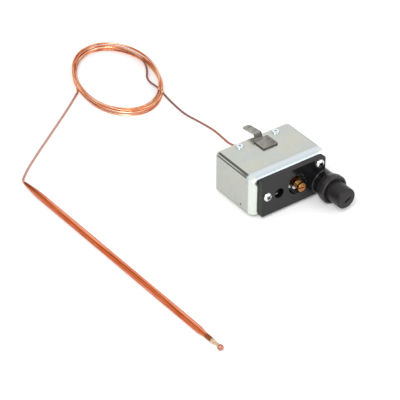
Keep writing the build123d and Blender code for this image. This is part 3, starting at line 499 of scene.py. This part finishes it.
def moulding_finish(colour):
    """Glossy phenolic moulding with a faint ripple; the walls of its access holes shine less."""
    black = Finish("black_moulding", 0.0, 0.12, IOR=1.5, Specular_IOR_Level=0.4)
    x, y, z = black.axes()
    cloud = black.noise(160, 3)
    black.colour(black.ramp(cloud, [(0.35, shade(colour, 0.8)), (0.7, shade(colour, 1.3))]))
    black.rough(black.grey(black.noise(1100, 3, 0.6), 0.3, 0.8, 0.084, 0.18))
    bores = [black.below(black.distance(x, z, middle), (radius + 0.0001, radius + 0.0003))
             for middle, radius in ACCESS_HOLES_XZ]
    walls = black.both(black.either(*bores), black.above(y, HOLE_WALL_Y))
    black.link(black.grey(walls, 0, 1, 0.4, 0.05), black.bsdf.inputs["Specular IOR Level"])
    black.bump(cloud, 0.08, 0.0002)
    return black.material


def button_finish(colour, name, specular):
    """Matt black plastic with a fine spark-eroded grain."""
    black = Finish(name, 0.0, 0.5, IOR=1.5, Specular_IOR_Level=specular)
    grain = black.noise(2600, 2, 0.6)
    wear = black.noise(240, 4, 0.6)
    black.colour(black.ramp(wear, [(0.35, shade(colour, 0.8)), (0.75, shade(colour, 1.6))]))
    black.rough(black.grey(grain, 0.3, 0.7, 0.3, 0.45))
    black.bump(grain, 0.25, 0.00004)
    return black.material


def screw_finish(node):
    """Pan head with painted light: a white painted highlight on the rim, a greyer top, and painted shade
    making the cross recess nearly black.
    """
    low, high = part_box(node)
    steel = Finish(node + "_steel", 1.0, 0.16)
    x, y, z = steel.axes()
    out = steel.distance(x, z, ((low[0] + high[0]) / 2, (low[2] + high[2]) / 2))
    radius = (high[0] - low[0]) / 2
    # painted highlight on the rim, darker towards the middle
    lit_head = steel.ramp(steel.grey(out, 0, radius, 0, 1), [
        (0.3, (0.34, 0.35, 0.36)), (0.58, (0.5, 0.51, 0.52)),
        (0.68, (0.85, 0.86, 0.86)), (1.0, (0.7, 0.71, 0.71))])
    under_face = steel.above(y, (low[1] + 0.0002, low[1] + 0.0003))
    # painted shade: the cross recess nearly black
    recess_shade = steel.both(under_face, steel.below(out, (radius * 0.56, radius * 0.6)))
    steel.colour(steel.mix(recess_shade, lit_head, (0.03, 0.03, 0.032)))
    steel.rough(steel.grey(steel.noise(2400, 2, 0.7), 0.3, 0.75, 0.12, 0.26))
    return steel.material


def bush_finish(brass):
    """Bush in tarnished brass, with a painted glint on its lower left."""
    metal = Finish("bush_brass_glint", 1.0, 0.34)
    x, _, z = metal.axes()
    tarnish = metal.ramp(metal.noise(900, 4, 0.65), [(0.35, shade(brass, 0.12)), (0.65, shade(brass, 0.6))])
    # painted glint: a bright patch on the bush's lower left
    lower_left_glint = metal.both(metal.below(x, BUSH_GLINT_X), metal.below(z, BUSH_GLINT_Z))
    metal.colour(metal.mix(lower_left_glint, tarnish, (0.8, 0.8, 0.84)))
    return metal.material


def bright_finish(name, colour, roughness):
    """Nickel or zinc plated steel, polished, with fine turning marks."""
    steel = Finish(name, 1.0, roughness)
    steel.colour(steel.ramp(steel.noise(500, 3), [(0.3, shade(colour, 0.82)), (0.7, shade(colour, 1.08))]))
    marks = steel.noise(2400, 2, 0.7)
    steel.rough(steel.grey(marks, 0.3, 0.75, roughness * 0.7, roughness * 1.8))
    steel.bump(marks, 0.05, 0.00003)
    return steel.material


def stop_screw_finish():
    """Blackened screw, with a painted glint along the lower edge of its slot."""
    steel = Finish("blackened_screw", 0.8, 0.3)
    x, _, z = steel.axes()
    flecks = steel.noise(1500, 3)
    black = steel.ramp(flecks, [(0.35, (0.012, 0.012, 0.013)), (0.75, (0.035, 0.035, 0.037))])
    # painted glint along the lower edge of the slot
    slot_glint = steel.both(steel.within(z, SLOT_GLINT_Z, 0.0002), steel.within(x, SLOT_GLINT_X, 0.0003))
    steel.colour(steel.mix(slot_glint, black, (0.85, 0.85, 0.84)))
    steel.rough(steel.grey(flecks, 0.3, 0.8, 0.25, 0.4))
    return steel.material


def tab_finish(colour):
    """Dark steel with brown heat tint, painted shade on the riser, the edges and the right side, and
    rolling marks.
    """
    steel = Finish("heat_tinted_steel", 0.85, 0.42)
    x, y, z = steel.axes()
    clouds = steel.noise(420, 4, 0.65)
    pale = (colour[0] * 1.5, colour[1] * 1.5, colour[2] * 1.4)
    tinted = steel.ramp(clouds, [(0.32, shade(colour, 0.55)), (0.48, colour), (0.68, pale)])
    rosy = steel.both(steel.below(y, TAB_TINT_Y), steel.below(z, TAB_PLATE_Z))
    tinted = steel.mix(steel.both(rosy, 0.45), tinted, (0.26, 0.21, 0.18))
    fine = steel.noise((1500, 700, 1500), 3, 0.7)
    grey = steel.mix(steel.grey(fine, 0.42, 0.7, 0, 0.5), tinted, (0.34, 0.34, 0.32))
    # painted shade: the riser darker than the plate
    riser_shade = steel.both(steel.within(y, TAB_RISER_Y, 0.0006), steel.above(z, TAB_RISER_Z))
    grey = steel.mix(steel.both(riser_shade, 0.75), grey, (0.055, 0.055, 0.05))
    # painted shade: the tab darker towards the right
    right_shade = steel.ramp(steel.above(x, TAB_LEFT_TO_RIGHT_X), [
        (0.0, (1.0, 1.0, 1.0)), (1.0, (0.57, 0.55, 0.53))])
    grey = steel.mix(1.0, grey, right_shade, "MULTIPLY")
    # painted shade on the plate's front and left edges, darkest at the bottom
    rim_shade = steel.either(steel.below(y, TAB_FRONT_RIM_Y), steel.below(x, TAB_LEFT_RIM_X))
    rim_shade = steel.both(rim_shade, steel.grey(z, *TAB_RIM_Z, 1, 0.25))
    steel.colour(steel.mix(steel.both(rim_shade, 0.9), grey, (0.03, 0.027, 0.022)))
    steel.rough(steel.grey(fine, 0.3, 0.8, 0.32, 0.5))
    steel.bump(clouds, 0.2, 0.0001)
    return steel.material


def brass_finish(colour, name, roughness):
    """Brass with darker tarnish patches and turning marks."""
    brass = Finish(name, 1.0, roughness)
    tarnish = brass.noise(900, 4, 0.65)
    brass.colour(brass.ramp(tarnish, [
        (0.32, shade(colour, 0.3)), (0.46, colour), (0.7, shade(colour, 1.45))]))
    marks = brass.noise((3000, 500, 3000), 2, 0.7)
    brass.rough(brass.grey(marks, 0.3, 0.75, roughness * 0.7, roughness * 1.7))
    brass.bump(marks, 0.08, 0.00003)
    return brass.material


def oval_parts(copper, settings):
    """A point's place across and along the leaning oval, as parts of its half axes."""
    x, y, _ = copper.axes()
    out_x = copper.math("SUBTRACT", x, settings.centre[0] * MM)
    out_y = copper.math("SUBTRACT", y, settings.centre[1] * MM)
    cosine, sine = math.cos(settings.lean), math.sin(settings.lean)
    half_x, half_y = settings.half_axes
    parts = []
    for part_x, part_y, half in ((cosine, sine, half_x), (-sine, cosine, half_y)):
        along = copper.math("ADD", copper.math("MULTIPLY", out_x, part_x),
                            copper.math("MULTIPLY", out_y, part_y))
        parts.append(copper.math("DIVIDE", along, half * MM))
    return parts


def strand_noise(copper, parts, reach):
    """A noise drawn out along the turns: slow round the oval, quick from strand to strand."""
    _, _, z = copper.axes()
    polar = copper.node("CombineXYZ")
    angle = copper.math("ARCTAN2", parts[1], parts[0])
    copper.link(copper.math("MULTIPLY", angle, 1.9), polar.inputs[0])
    copper.link(copper.math("MULTIPLY", copper.math("SQRT", reach), 42.0), polar.inputs[1])
    copper.link(copper.math("MULTIPLY", z, 1000.0), polar.inputs[2])
    strands = copper.node("TexNoise", Scale=1.0, Detail=3.0, Roughness=0.6)
    copper.link(polar.outputs[0], strands.inputs["Vector"])
    return strands.outputs["Fac"]


def copper_finish(settings):
    """Drawn copper wire: salmon and orange turns with cream patches painted as highlights and dark patches
    painted as shade between the strands, fine brown stains, a brown lead and a pink one.
    """
    colour = settings.colour
    copper = Finish("capillary_copper", 1.0, 0.3, Specular_Tint=COPPER_EDGE)
    x, y, _ = copper.axes()
    parts = oval_parts(copper, settings)
    reach = copper.math("ADD", *[copper.math("MULTIPLY", part, part) for part in parts])
    patches = strand_noise(copper, parts, reach)
    # painted light laid out by noise from strand to strand: dark painted shade between the strands, cream
    # painted highlights
    turns = copper.ramp(patches, [
        (0.33, shade(colour, 0.42)), (0.43, shade(colour, 0.85)),
        (0.52, (min(1, colour[0] * 1.12), colour[1] * 1.5, colour[2] * 1.8)), (0.61, (1.0, 0.76, 0.55))])
    drawn = copper.noise(1500, 3, 0.6)
    turns = copper.mix(copper.grey(drawn, 0.5, 0.8, 0, 0.5), turns, shade(colour, 0.45))

    # the lead from the case comes from outside the oval, passes over it and joins it from inside
    inside_oval = copper.below(reach, INSIDE_OVAL)
    case_side = copper.both(
        copper.below(y, CASE_LEAD_Y), copper.above(x, CASE_LEAD_X), copper.above(reach, OUTSIDE_OVAL))
    brown = copper.ramp(patches, [(0.3, (0.2, 0.11, 0.108)), (0.7, (0.4, 0.23, 0.22))])
    brown = copper.mix(copper.grey(y, *CASE_LEAD_REDDER_Y, 0.75, 0), brown, (0.48, 0.2, 0.14))
    turns = copper.mix(copper.either(inside_oval, case_side), turns, brown)
    bulb_side = copper.below(x, BULB_LEAD_X)
    pink = copper.ramp(patches, [(0.3, (0.47, 0.26, 0.22)), (0.7, (0.7, 0.45, 0.4))])
    copper.colour(copper.mix(bulb_side, turns, pink))
    copper.rough(copper.grey(drawn, 0.25, 0.8, 0.2, 0.38))
    copper.bump(drawn, 0.06, 0.00005)
    return copper.material


def bulb_finish():
    """Drawn copper tube: painted highlights and shade in lengthwise bands round the tube, from deep red to
    orange with salmon flanks, with streaks and a brown tip.
    """
    copper = Finish("bulb_copper", 1.0, 0.26, Specular_Tint=COPPER_EDGE)
    moved = copper.node("Mapping", Location=[-part for part in BULB_END])
    turned = copper.node("Mapping", Rotation=(0, 0, -BULB_TURN))
    copper.link(copper.coords.outputs["Object"], moved.inputs["Vector"])
    copper.link(moved.outputs["Vector"], turned.inputs["Vector"])
    split = copper.node("SeparateXYZ")
    copper.link(turned.outputs["Vector"], split.inputs[0])
    x, y, z = split.outputs
    wander = copper.noise((120, 14, 120), 3, 0.6)
    # painted light: the colour follows the angle round the tube, in painted shade and painted highlight
    # bands
    around = copper.math("ADD", copper.math("ARCTAN2", x, z), copper.grey(wander, 0.3, 0.7, -0.22, 0.22))
    bands = copper.ramp(copper.grey(around, -math.pi, math.pi, 0, 1), [
        (0.0, (0.5, 0.15, 0.07)), (0.14, (0.52, 0.18, 0.12)), (0.2, (0.72, 0.26, 0.16)),
        (0.3, (0.66, 0.17, 0.09)), (0.335, (0.3, 0.045, 0.014)), (0.355, (0.8, 0.17, 0.04)),
        (0.38, (0.86, 0.21, 0.055)), (0.397, (0.2, 0.032, 0.011)), (0.422, (0.24, 0.038, 0.013)),
        (0.44, (0.82, 0.2, 0.07)), (0.485, (0.92, 0.32, 0.19)), (0.54, (0.95, 0.44, 0.31)),
        (0.64, (0.85, 0.38, 0.27)), (0.8, (0.55, 0.17, 0.08)), (1.0, (0.5, 0.15, 0.07))])
    streaks = copper.noise((1500, 30, 1500), 4, 0.7)
    bands = copper.mix(copper.grey(streaks, 0.5, 0.68, 0, 0.75), bands, (0.26, 0.05, 0.018))
    bands = copper.mix(copper.grey(streaks, 0.47, 0.3, 0, 0.35), bands, (0.95, 0.5, 0.33))

    # y is 0 at the lead's end of the bulb and falls towards its neck
    lead_end = copper.both(
        copper.grey(y, *BULB_LEAD_END_Y, 0, 0.85), copper.within(around, BULB_LEAD_END_ANGLE, 0.3))
    bands = copper.mix(lead_end, bands, (0.17, 0.05, 0.025))
    neck = copper.grey(y, *BULB_NECK_Y, 0.85, 0)
    copper.colour(copper.mix(neck, bands, (0.22, 0.085, 0.03)))
    copper.rough(copper.grey(streaks, 0.25, 0.8, 0.2, 0.36))
    copper.bump(streaks, 0.06, 0.00005)
    return copper.material


def phenolic_finish(name, colour):
    """Dull moulded insulating plastic with a fleck of filler."""
    plastic = Finish(name, 0.0, 0.48)
    flecks = plastic.noise(1300, 3, 0.7)
    plastic.colour(plastic.ramp(flecks, [
        (0.35, shade(colour, 0.75)), (0.6, colour), (0.78, shade(colour, 2.2))]))
    plastic.rough(plastic.grey(flecks, 0.3, 0.8, 0.4, 0.6))
    plastic.bump(plastic.noise(2200, 2), 0.15, 0.00004)
    return plastic.material


def add_object(name, data):
    """Puts a new object with this data into the scene."""
    made = bpy.data.objects.new(name, data)
    bpy.context.scene.collection.objects.link(made)
    return made


def spring_tree():
    """Node tree of a round-wire coil spring that stands at the origin along Z."""
    tree = bpy.data.node_groups.new("coil_spring", "GeometryNodeTree")
    face = tree.interface
    for name, default in (("Coil radius", 0.003), ("Wire", 0.0008), ("Turns", 4.0), ("Length", 0.006)):
        socket = face.new_socket(name=name, in_out="INPUT", socket_type="NodeSocketFloat")
        socket.default_value = default
    face.new_socket(name="Finish", in_out="INPUT", socket_type="NodeSocketMaterial")
    face.new_socket(name="Spring", in_out="OUTPUT", socket_type="NodeSocketGeometry")

    given = tree.nodes.new("NodeGroupInput")
    spiral = tree.nodes.new("GeometryNodeCurveSpiral")
    spiral.inputs["Resolution"].default_value = 40
    section = tree.nodes.new("GeometryNodeCurvePrimitiveCircle")
    section.inputs["Resolution"].default_value = 12
    half = tree.nodes.new("ShaderNodeMath")
    half.operation = "MULTIPLY"
    half.inputs[1].default_value = 0.5
    wire = tree.nodes.new("GeometryNodeCurveToMesh")
    wire.inputs["Fill Caps"].default_value = True
    smooth = tree.nodes.new("GeometryNodeSetShadeSmooth")
    real = tree.nodes.new("GeometryNodeRealizeInstances")
    paint = tree.nodes.new("GeometryNodeSetMaterial")
    out = tree.nodes.new("NodeGroupOutput")
    for source, target in (
            (given.outputs["Turns"], spiral.inputs["Rotations"]),
            (given.outputs["Coil radius"], spiral.inputs["Start Radius"]),
            (given.outputs["Coil radius"], spiral.inputs["End Radius"]),
            (given.outputs["Length"], spiral.inputs["Height"]),
            (given.outputs["Wire"], half.inputs[0]),
            (half.outputs[0], section.inputs["Radius"]),
            (spiral.outputs["Curve"], wire.inputs["Curve"]),
            (section.outputs["Curve"], wire.inputs["Profile Curve"]),
            (wire.outputs["Mesh"], smooth.inputs["Geometry"]),
            (smooth.outputs["Geometry"], real.inputs["Geometry"]),
            (real.outputs["Geometry"], paint.inputs["Geometry"]),
            (given.outputs["Finish"], paint.inputs["Material"]),
            (paint.outputs["Geometry"], out.inputs["Spring"])):
        tree.links.new(source, target)
    return tree


def grow(name, tree, values, turn):
    """Makes a plain mesh piece from a node tree's inputs and sets it in place."""
    holder = add_object(name + "_source", bpy.data.meshes.new(name + "_source"))
    modifier = holder.modifiers.new("nodes", "NODES")
    modifier.node_group = tree
    for item in tree.interface.items_tree:
        if item.in_out == "INPUT" and item.name in values:
            modifier[item.identifier] = values[item.name]
    graph = bpy.context.evaluated_depsgraph_get()
    mesh = bpy.data.meshes.new_from_object(holder.evaluated_get(graph), depsgraph=graph)
    bpy.data.objects.remove(holder)
    if not mesh.vertices:
        raise RuntimeError("the node tree made nothing for " + name)
    mesh.name = name
    mesh.transform(turn)
    return add_object(name, mesh)


def grow_spring(node, axis, material, wire, turns, pushed_by=None, fixed_end=None):
    """A round-wire spring in the place of a CAD spring, along Y or Z; one given a pushing body has its
    place baked into its mesh and rides on no body, the others ride on the case.
    """
    low, high = (Vector(corner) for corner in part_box(node))
    middle = (low + high) / 2
    place = "XYZ".index(axis)
    start = middle.copy()
    start[place] = low[place] + wire / 2
    turn = Matrix.Translation(start)
    if axis == "Y":
        turn = turn @ Matrix.Rotation(math.radians(-90), 4, "X")
    values = {
        "Coil radius": (high[0] - low[0]) / 2 - wire / 2,
        "Wire": wire,
        "Turns": turns,
        "Length": high[place] - low[place] - wire,
        "Finish": material,
    }
    tree = bpy.data.node_groups.get("coil_spring") or spring_tree()
    piece = grow(node + "_wire", tree, values, turn)
    if pushed_by:
        fixed, pushed = middle.copy(), middle.copy()
        near, far = (low, high) if fixed_end == "low" else (high, low)
        fixed[place] = near[place]
        pushed[place] = far[place]
        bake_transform(piece)
    else:
        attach(piece, "case")
    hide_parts(node)


def smoothstep(x):
    x = min(1.0, max(0.0, x))
    return x * x * (3 - 2 * x)


def between(keys, t):
    """Eased value at t of a list of (t, value...) keys."""
    if t <= keys[0][0]:
        return keys[0][1:]
    for low, high in zip(keys, keys[1:]):
        if t <= high[0]:
            f = smoothstep((t - low[0]) / (high[0] - low[0]))
            return tuple(a + (b - a) * f for a, b in zip(low[1:], high[1:]))
    return keys[-1][1:]


# Where each turn lies in the pile: part of the turn, then distance out and height in millimetres
TURN_PLACES = [
    [(0.0, -1.3, 1.4), (0.12, -1.3, 1.0), (0.3, -0.9, 0.1), (0.45, -0.9, 0.6), (0.6, -1.2, 1.9),
     (0.72, -1.3, 1.5), (0.83, -0.8, 1.3), (0.89, 0.8, 2.9), (0.94, 1.3, 2.9), (1.0, 1.4, 2.9)],
    [(0.0, 1.4, 2.9), (0.07, 0.9, 2.9), (0.15, 0.4, 3.0), (0.35, 0.7, 3.0), (0.5, 0.4, 1.4),
     (0.65, -0.2, 1.3), (0.83, 0.5, 1.3), (0.93, -0.9, 1.3), (1.0, 0.1, 1.3)],
    [(0.0, 0.1, 1.3), (0.35, 0.7, 1.3), (0.5, 0.3, -0.3), (0.65, 0.3, -0.3), (0.83, 0.5, -0.3),
     (0.93, -0.5, -0.3), (1.0, 0.3, -0.3)],
    [(0.0, 0.3, -0.3), (0.35, 0.7, -0.3), (0.5, 0.4, -1.9), (0.65, 0.8, -1.9), (0.83, 0.5, -1.9),
     (0.93, -0.4, -1.9), (1.0, 0.7, -1.9)],
    [(0.0, 0.7, -1.9), (0.1, 0.6, -1.9), (0.3, 0.7, -1.9), (0.42, 0.9, -1.9)],
]
STEPS_PER_TURN = 20
FIRST_TURN_ANGLE = 35.2

# How far the pile leans towards its far end, in millimetres for each one above its middle
PILE_LEAN = 0.3
PILE_MIDDLE_Z = 0.5

# How far the turns wander from a true oval, in millimetres
WOBBLE = 0.2

# How the turns are eased apart: passes, pull to the neighbours' middle, pull back, and strand pitch
EASING_PASSES = 120
SMOOTHING = 0.12
RETURN = 0.06
STRAND_PITCH = 1.66


def coil_places(turns):
    """Distance out and height of the wire at each step, eased apart so that no strands share a place."""
    count = round(turns * STEPS_PER_TURN)
    places = []
    for step in range(count + 1):
        turn, part = divmod(step / STEPS_PER_TURN, 1)
        out, height = between(TURN_PLACES[min(int(turn), len(TURN_PLACES) - 1)], part)
        angle = math.radians(FIRST_TURN_ANGLE + 360 * part)
        out += PILE_LEAN * (height - PILE_MIDDLE_Z) * math.sin(angle)
        places.append([out, height])
    wanted = [tuple(p) for p in places]
    for _ in range(EASING_PASSES):
        for i in range(1, count):
            for axis in (0, 1):
                middle = (places[i - 1][axis] + places[i + 1][axis]) / 2
                smoother = SMOOTHING * (middle - places[i][axis])
                places[i][axis] += smoother + RETURN * (wanted[i][axis] - places[i][axis])
        for i in range(count + 1):
            for j in range(i + STEPS_PER_TURN, count + 1, STEPS_PER_TURN):
                push_apart(places[i], places[j])
        for place in places:
            place[1] = max(CAPILLARY_Z, place[1])
    return places


def push_apart(first, second):
    """Moves two strands' places apart where they are nearer than a strand."""
    across, up = second[0] - first[0], second[1] - first[1]
    apart = math.hypot(across, up) or 0.01
    if apart < STRAND_PITCH:
        push = 0.5 * (STRAND_PITCH - apart) / apart
        for place, sign in ((first, -1), (second, 1)):
            place[0] += sign * push * across
            place[1] += sign * push * up


def coil_points(settings):
    """Control points of the coil's turns, in millimetres."""
    points = []
    cosine, sine = math.cos(settings.lean), math.sin(settings.lean)
    # the spline cuts inside its control points, so they stand out by two thirds of what it cuts
    spread = 1 / math.cos(math.pi / STEPS_PER_TURN) ** 0.66
    for step, (out, height) in enumerate(coil_places(settings.turns)):
        angle = math.radians(FIRST_TURN_ANGLE + 360 * step / STEPS_PER_TURN)
        wobble = WOBBLE * math.sin(1.7 * angle + 0.6)
        x = (settings.half_axes[0] + out + wobble) * spread * math.cos(angle)
        y = (settings.half_axes[1] + out + wobble) * spread * math.sin(angle)
        points.append((settings.centre[0] + cosine * x - sine * y,
                       settings.centre[1] + sine * x + cosine * y, height))
    return points


class THERMOSTAT_OT_stage(bpy.types.Operator):
    """Camera, floor and soft studio light"""

    bl_idname = "thermostat.stage"
    bl_label = "Stage"

    def execute(self, context):
        settings = context.scene.thermostat_stage
        self.camera(context.scene, settings)
        self.floor(settings)
        self.sky(context.scene, settings)
        self.lamp("key", place=(-0.7, -0.5, 1.0), size=0.7, power=settings.key)
        self.lamp("fill", place=(0.5, -0.9, 0.6), size=0.8, power=settings.key * 0.3)
        context.scene.view_settings.view_transform = "Standard"
        return {"FINISHED"}

    def camera(self, scene, settings):
        azimuth, elevation = settings.azimuth, settings.elevation
        level = math.cos(elevation)
        back = Vector((math.sin(azimuth) * level, -math.cos(azimuth) * level, math.sin(elevation)))
        right = Vector((math.cos(azimuth), math.sin(azimuth), 0))
        up = back.cross(right)
        camera = add_object("camera", bpy.data.cameras.new("camera"))
        turn = Matrix((right, up, back)).transposed().to_4x4()
        camera.matrix_world = Matrix.Translation(Vector(settings.aim) + back * settings.distance) @ turn
        camera.data.sensor_width = 36
        camera.data.lens = settings.lens
        camera.data.clip_start = 0.01
        scene.camera = camera

    def floor(self, settings):
        """A wide plane whose faint glow shows to the camera and in gloss, but lights nothing."""
        white = Finish("floor", 0.0, 0.9)
        white.bsdf.inputs["Base Color"].default_value = (*settings.floor_colour, 1)
        white.bsdf.inputs["Emission Color"].default_value = (1, 1, 1, 1)
        glow = white.math("MULTIPLY", seen_rays(white.tree), settings.floor_glow)
        white.link(glow, white.bsdf.inputs["Emission Strength"])
        mesh = bpy.data.meshes.new("floor")
        corners = [(FLOOR_REACH * x, FLOOR_REACH * y, FLOOR_Z * MM)
                   for x, y in ((-1, -1), (1, -1), (1, 1), (-1, 1))]
        mesh.from_pydata(corners, [], [(0, 1, 2, 3)])
        mesh.materials.append(white.material)
        add_object("floor", mesh)

    def sky(self, scene, settings):
        """Even white light, with a fully white backdrop for rays that see it."""
        world = bpy.data.worlds.new("studio")
        world.use_nodes = True
        tree = world.node_tree
        light = tree.nodes["Background"]
        seen = tree.nodes.new("ShaderNodeBackground")
        for background, strength in ((light, settings.sky), (seen, 1.0)):
            background.inputs["Color"].default_value = (1, 1, 1, 1)
            background.inputs["Strength"].default_value = strength
        choose = tree.nodes.new("ShaderNodeMixShader")
        tree.links.new(seen_rays(tree), choose.inputs["Fac"])
        tree.links.new(light.outputs[0], choose.inputs[1])
        tree.links.new(seen.outputs[0], choose.inputs[2])
        tree.links.new(choose.outputs[0], tree.nodes["World Output"].inputs["Surface"])
        scene.world = world

    def lamp(self, name, place, size, power):
        """A soft round lamp aimed at the object."""
        data = bpy.data.lights.new(name, "AREA")
        data.shape = "DISK"
        data.size = size
        data.energy = power
        aim = Vector(LAMP_AIM) - Vector(place)
        turn = aim.to_track_quat("-Z", "Y").to_matrix().to_4x4()
        add_object(name, data).matrix_world = Matrix.Translation(place) @ turn


class THERMOSTAT_OT_capillary(bpy.types.Operator):
    """The copper capillary: lead, oval coil and lead to the bulb, as one wire"""

    bl_idname = "thermostat.capillary"
    bl_label = "Capillary"

    def execute(self, context):
        settings = context.scene.thermostat_capillary
        curve = bpy.data.curves.new("capillary", "CURVE")
        curve.dimensions = "3D"
        spline = curve.splines.new("NURBS")
        points = CASE_LEAD + coil_points(settings)[1:-1] + BULB_LEAD
        spline.points.add(len(points) - 1)
        for point, (x, y, z) in zip(spline.points, points):
            point.co = (x * MM, y * MM, z * MM, 1)
        spline.order_u = 3
        spline.use_endpoint_u = True
        spline.resolution_u = 8
        curve.bevel_depth = settings.diameter / 2
        curve.bevel_resolution = 3
        curve.use_fill_caps = True
        curve.materials.append(copper_finish(settings))
        wire = add_object("capillary", curve)
        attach(wire, "case")
        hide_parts("capillary_lead", "capillary_coil", "bulb_lead")
        return {"FINISHED"}


class THERMOSTAT_OT_case(bpy.types.Operator):
    """Zinc-plated can, base plate and rivets"""

    bl_idname = "thermostat.case"
    bl_label = "Case"

    def execute(self, context):
        colour = context.scene.thermostat_finish.zinc
        dress(["case_shell"], can_finish(colour))
        dress(["base_plate", "stud_nut"], zinc_finish(colour, "zinc_plate"))
        dress(["rivets"], rivet_finish())
        return {"FINISHED"}


class THERMOSTAT_OT_front(bpy.types.Operator):
    """Black front plate with its screws"""

    bl_idname = "thermostat.front"
    bl_label = "Front plate"

    def execute(self, context):
        dress(["front_plate"], moulding_finish(context.scene.thermostat_finish.moulding))
        for node in ("front_screw_left", "front_screw_right"):
            dress([node], screw_finish(node))
        return {"FINISHED"}


class THERMOSTAT_OT_reset(bpy.types.Operator):
    """Reset button, its guard ring and spring"""

    bl_idname = "thermostat.reset"
    bl_label = "Reset button"

    def execute(self, context):
        colour = context.scene.thermostat_finish.button
        # painted light: the collar is the button's black made lighter, for its lit top
        dress(["reset_collar"], button_finish(shade(colour, 1.3), "lit_black_collar", 0.4))
        dress(["reset_cap"], button_finish(colour, "black_button", 0.25))
        steel = bright_finish("reset_spring_steel", SPRING_STEEL, 0.28)
        grow_spring("reset_spring", "Y", steel, wire=0.0008, turns=6,
                    pushed_by="reset_button", fixed_end="high")
        return {"FINISHED"}


class THERMOSTAT_OT_adjuster(bpy.types.Operator):
    """Brass adjusting screw, its bush and springs, the other brass pieces and the stop screw"""

    bl_idname = "thermostat.adjuster"
    bl_label = "Adjusting screw"

    def execute(self, context):
        colour = context.scene.thermostat_finish.brass
        dress(["adjusting_bush"], bush_finish(colour))
        dress(["adjusting_screw", "spring_seat", "push_pad", "pivot_post", "contact_arm",
               "capillary_ferrule"], brass_finish(colour, "brass", 0.24))
        dress(["stop_screw"], stop_screw_finish())
        bronze = brass_finish((0.27, 0.15, 0.05), "spring_bronze", 0.2)
        grow_spring("adjusting_spring", "Y", bronze, wire=0.0008, turns=4)
        grow_spring("range_spring", "Y", bronze, wire=0.0009, turns=5, pushed_by="lever", fixed_end="low")
        return {"FINISHED"}


class THERMOSTAT_OT_tab(bpy.types.Operator):
    """Earth tab on the top of the can"""

    bl_idname = "thermostat.tab"
    bl_label = "Earth tab"

    def execute(self, context):
        dress(["earth_tab"], tab_finish(context.scene.thermostat_finish.tab_steel))
        return {"FINISHED"}


class THERMOSTAT_OT_bulb(bpy.types.Operator):
    """Copper bulb with its braze ring, filling stub and sealing ball"""

    bl_idname = "thermostat.bulb"
    bl_label = "Bulb"

    def execute(self, context):
        dress(["bulb"], bulb_finish())
        dress(["sealing_ball"], brass_finish((0.5, 0.21, 0.15), "ball_copper", 0.3))
        dress(["braze_ring", "filling_stub"], brass_finish((0.62, 0.46, 0.3), "braze", 0.3))
        return {"FINISHED"}


class THERMOSTAT_OT_inside(bpy.types.Operator):
    """Mechanism inside the can, and the terminals"""

    bl_idname = "thermostat.inside"
    bl_label = "Mechanism"

    def execute(self, context):
        dress(["switch_frame"], frame_finish())
        # painted shade: the lever's zinc made dark inside the can
        dress(["sensing_lever"], zinc_finish((0.1, 0.1, 0.095), "shaded_inner_zinc"))
        dress(["capsule", "pivot_pin", "reset_stem"],
              bright_finish("inner_steel", (0.66, 0.66, 0.64), 0.22))
        steel = bright_finish("spring_steel", SPRING_STEEL, 0.28)
        dress(["stem_clip"], steel)
        grow_spring("contact_spring", "Z", steel, wire=0.0006, turns=2)
        dress(["switch_carrier", "transfer_pin"], phenolic_finish("phenolic", (0.05, 0.04, 0.035)))
        dress(["moving_contact", "fixed_contact"], bright_finish("contact_silver", (0.82, 0.81, 0.78), 0.2))
        dress(["terminal_1", "terminal_2"], brass_finish((0.7, 0.56, 0.3), "terminal_brass", 0.26))
        return {"FINISHED"}


OPERATORS = [
    THERMOSTAT_OT_stage, THERMOSTAT_OT_capillary, THERMOSTAT_OT_case, THERMOSTAT_OT_front,
    THERMOSTAT_OT_reset, THERMOSTAT_OT_adjuster, THERMOSTAT_OT_tab, THERMOSTAT_OT_bulb,
    THERMOSTAT_OT_inside,
]


class THERMOSTAT_PT_panel(bpy.types.Panel):
    """Lists the pieces of the thermostat"""

    bl_idname = "THERMOSTAT_PT_panel"
    bl_label = "High limit thermostat"
    bl_space_type = "VIEW_3D"
    bl_region_type = "UI"
    bl_category = "Thermostat"

    def draw(self, context):
        for operator in OPERATORS:
            self.layout.operator(operator.bl_idname)


SETTINGS = {
    "thermostat_stage": StageSettings,
    "thermostat_capillary": CapillarySettings,
    "thermostat_finish": FinishSettings,
}


def register():
    for name, group in SETTINGS.items():
        bpy.utils.register_class(group)
        setattr(bpy.types.Scene, name, bpy.props.PointerProperty(type=group))
    for operator in OPERATORS:
        bpy.utils.register_class(operator)
    bpy.utils.register_class(THERMOSTAT_PT_panel)


def unregister():
    bpy.utils.unregister_class(THERMOSTAT_PT_panel)
    for operator in reversed(OPERATORS):
        bpy.utils.unregister_class(operator)
    for name, group in SETTINGS.items():
        delattr(bpy.types.Scene, name)
        bpy.utils.unregister_class(group)


def main():
    register()
    for operator in OPERATORS:
        piece = operator.bl_idname.split(".")[1]
        result = getattr(bpy.ops.thermostat, piece)()
        if result != {"FINISHED"}:
            raise RuntimeError("the step " + piece + " didn't finish")
    bpy.context.view_layer.update()


if __name__ == "__main__":
    main()
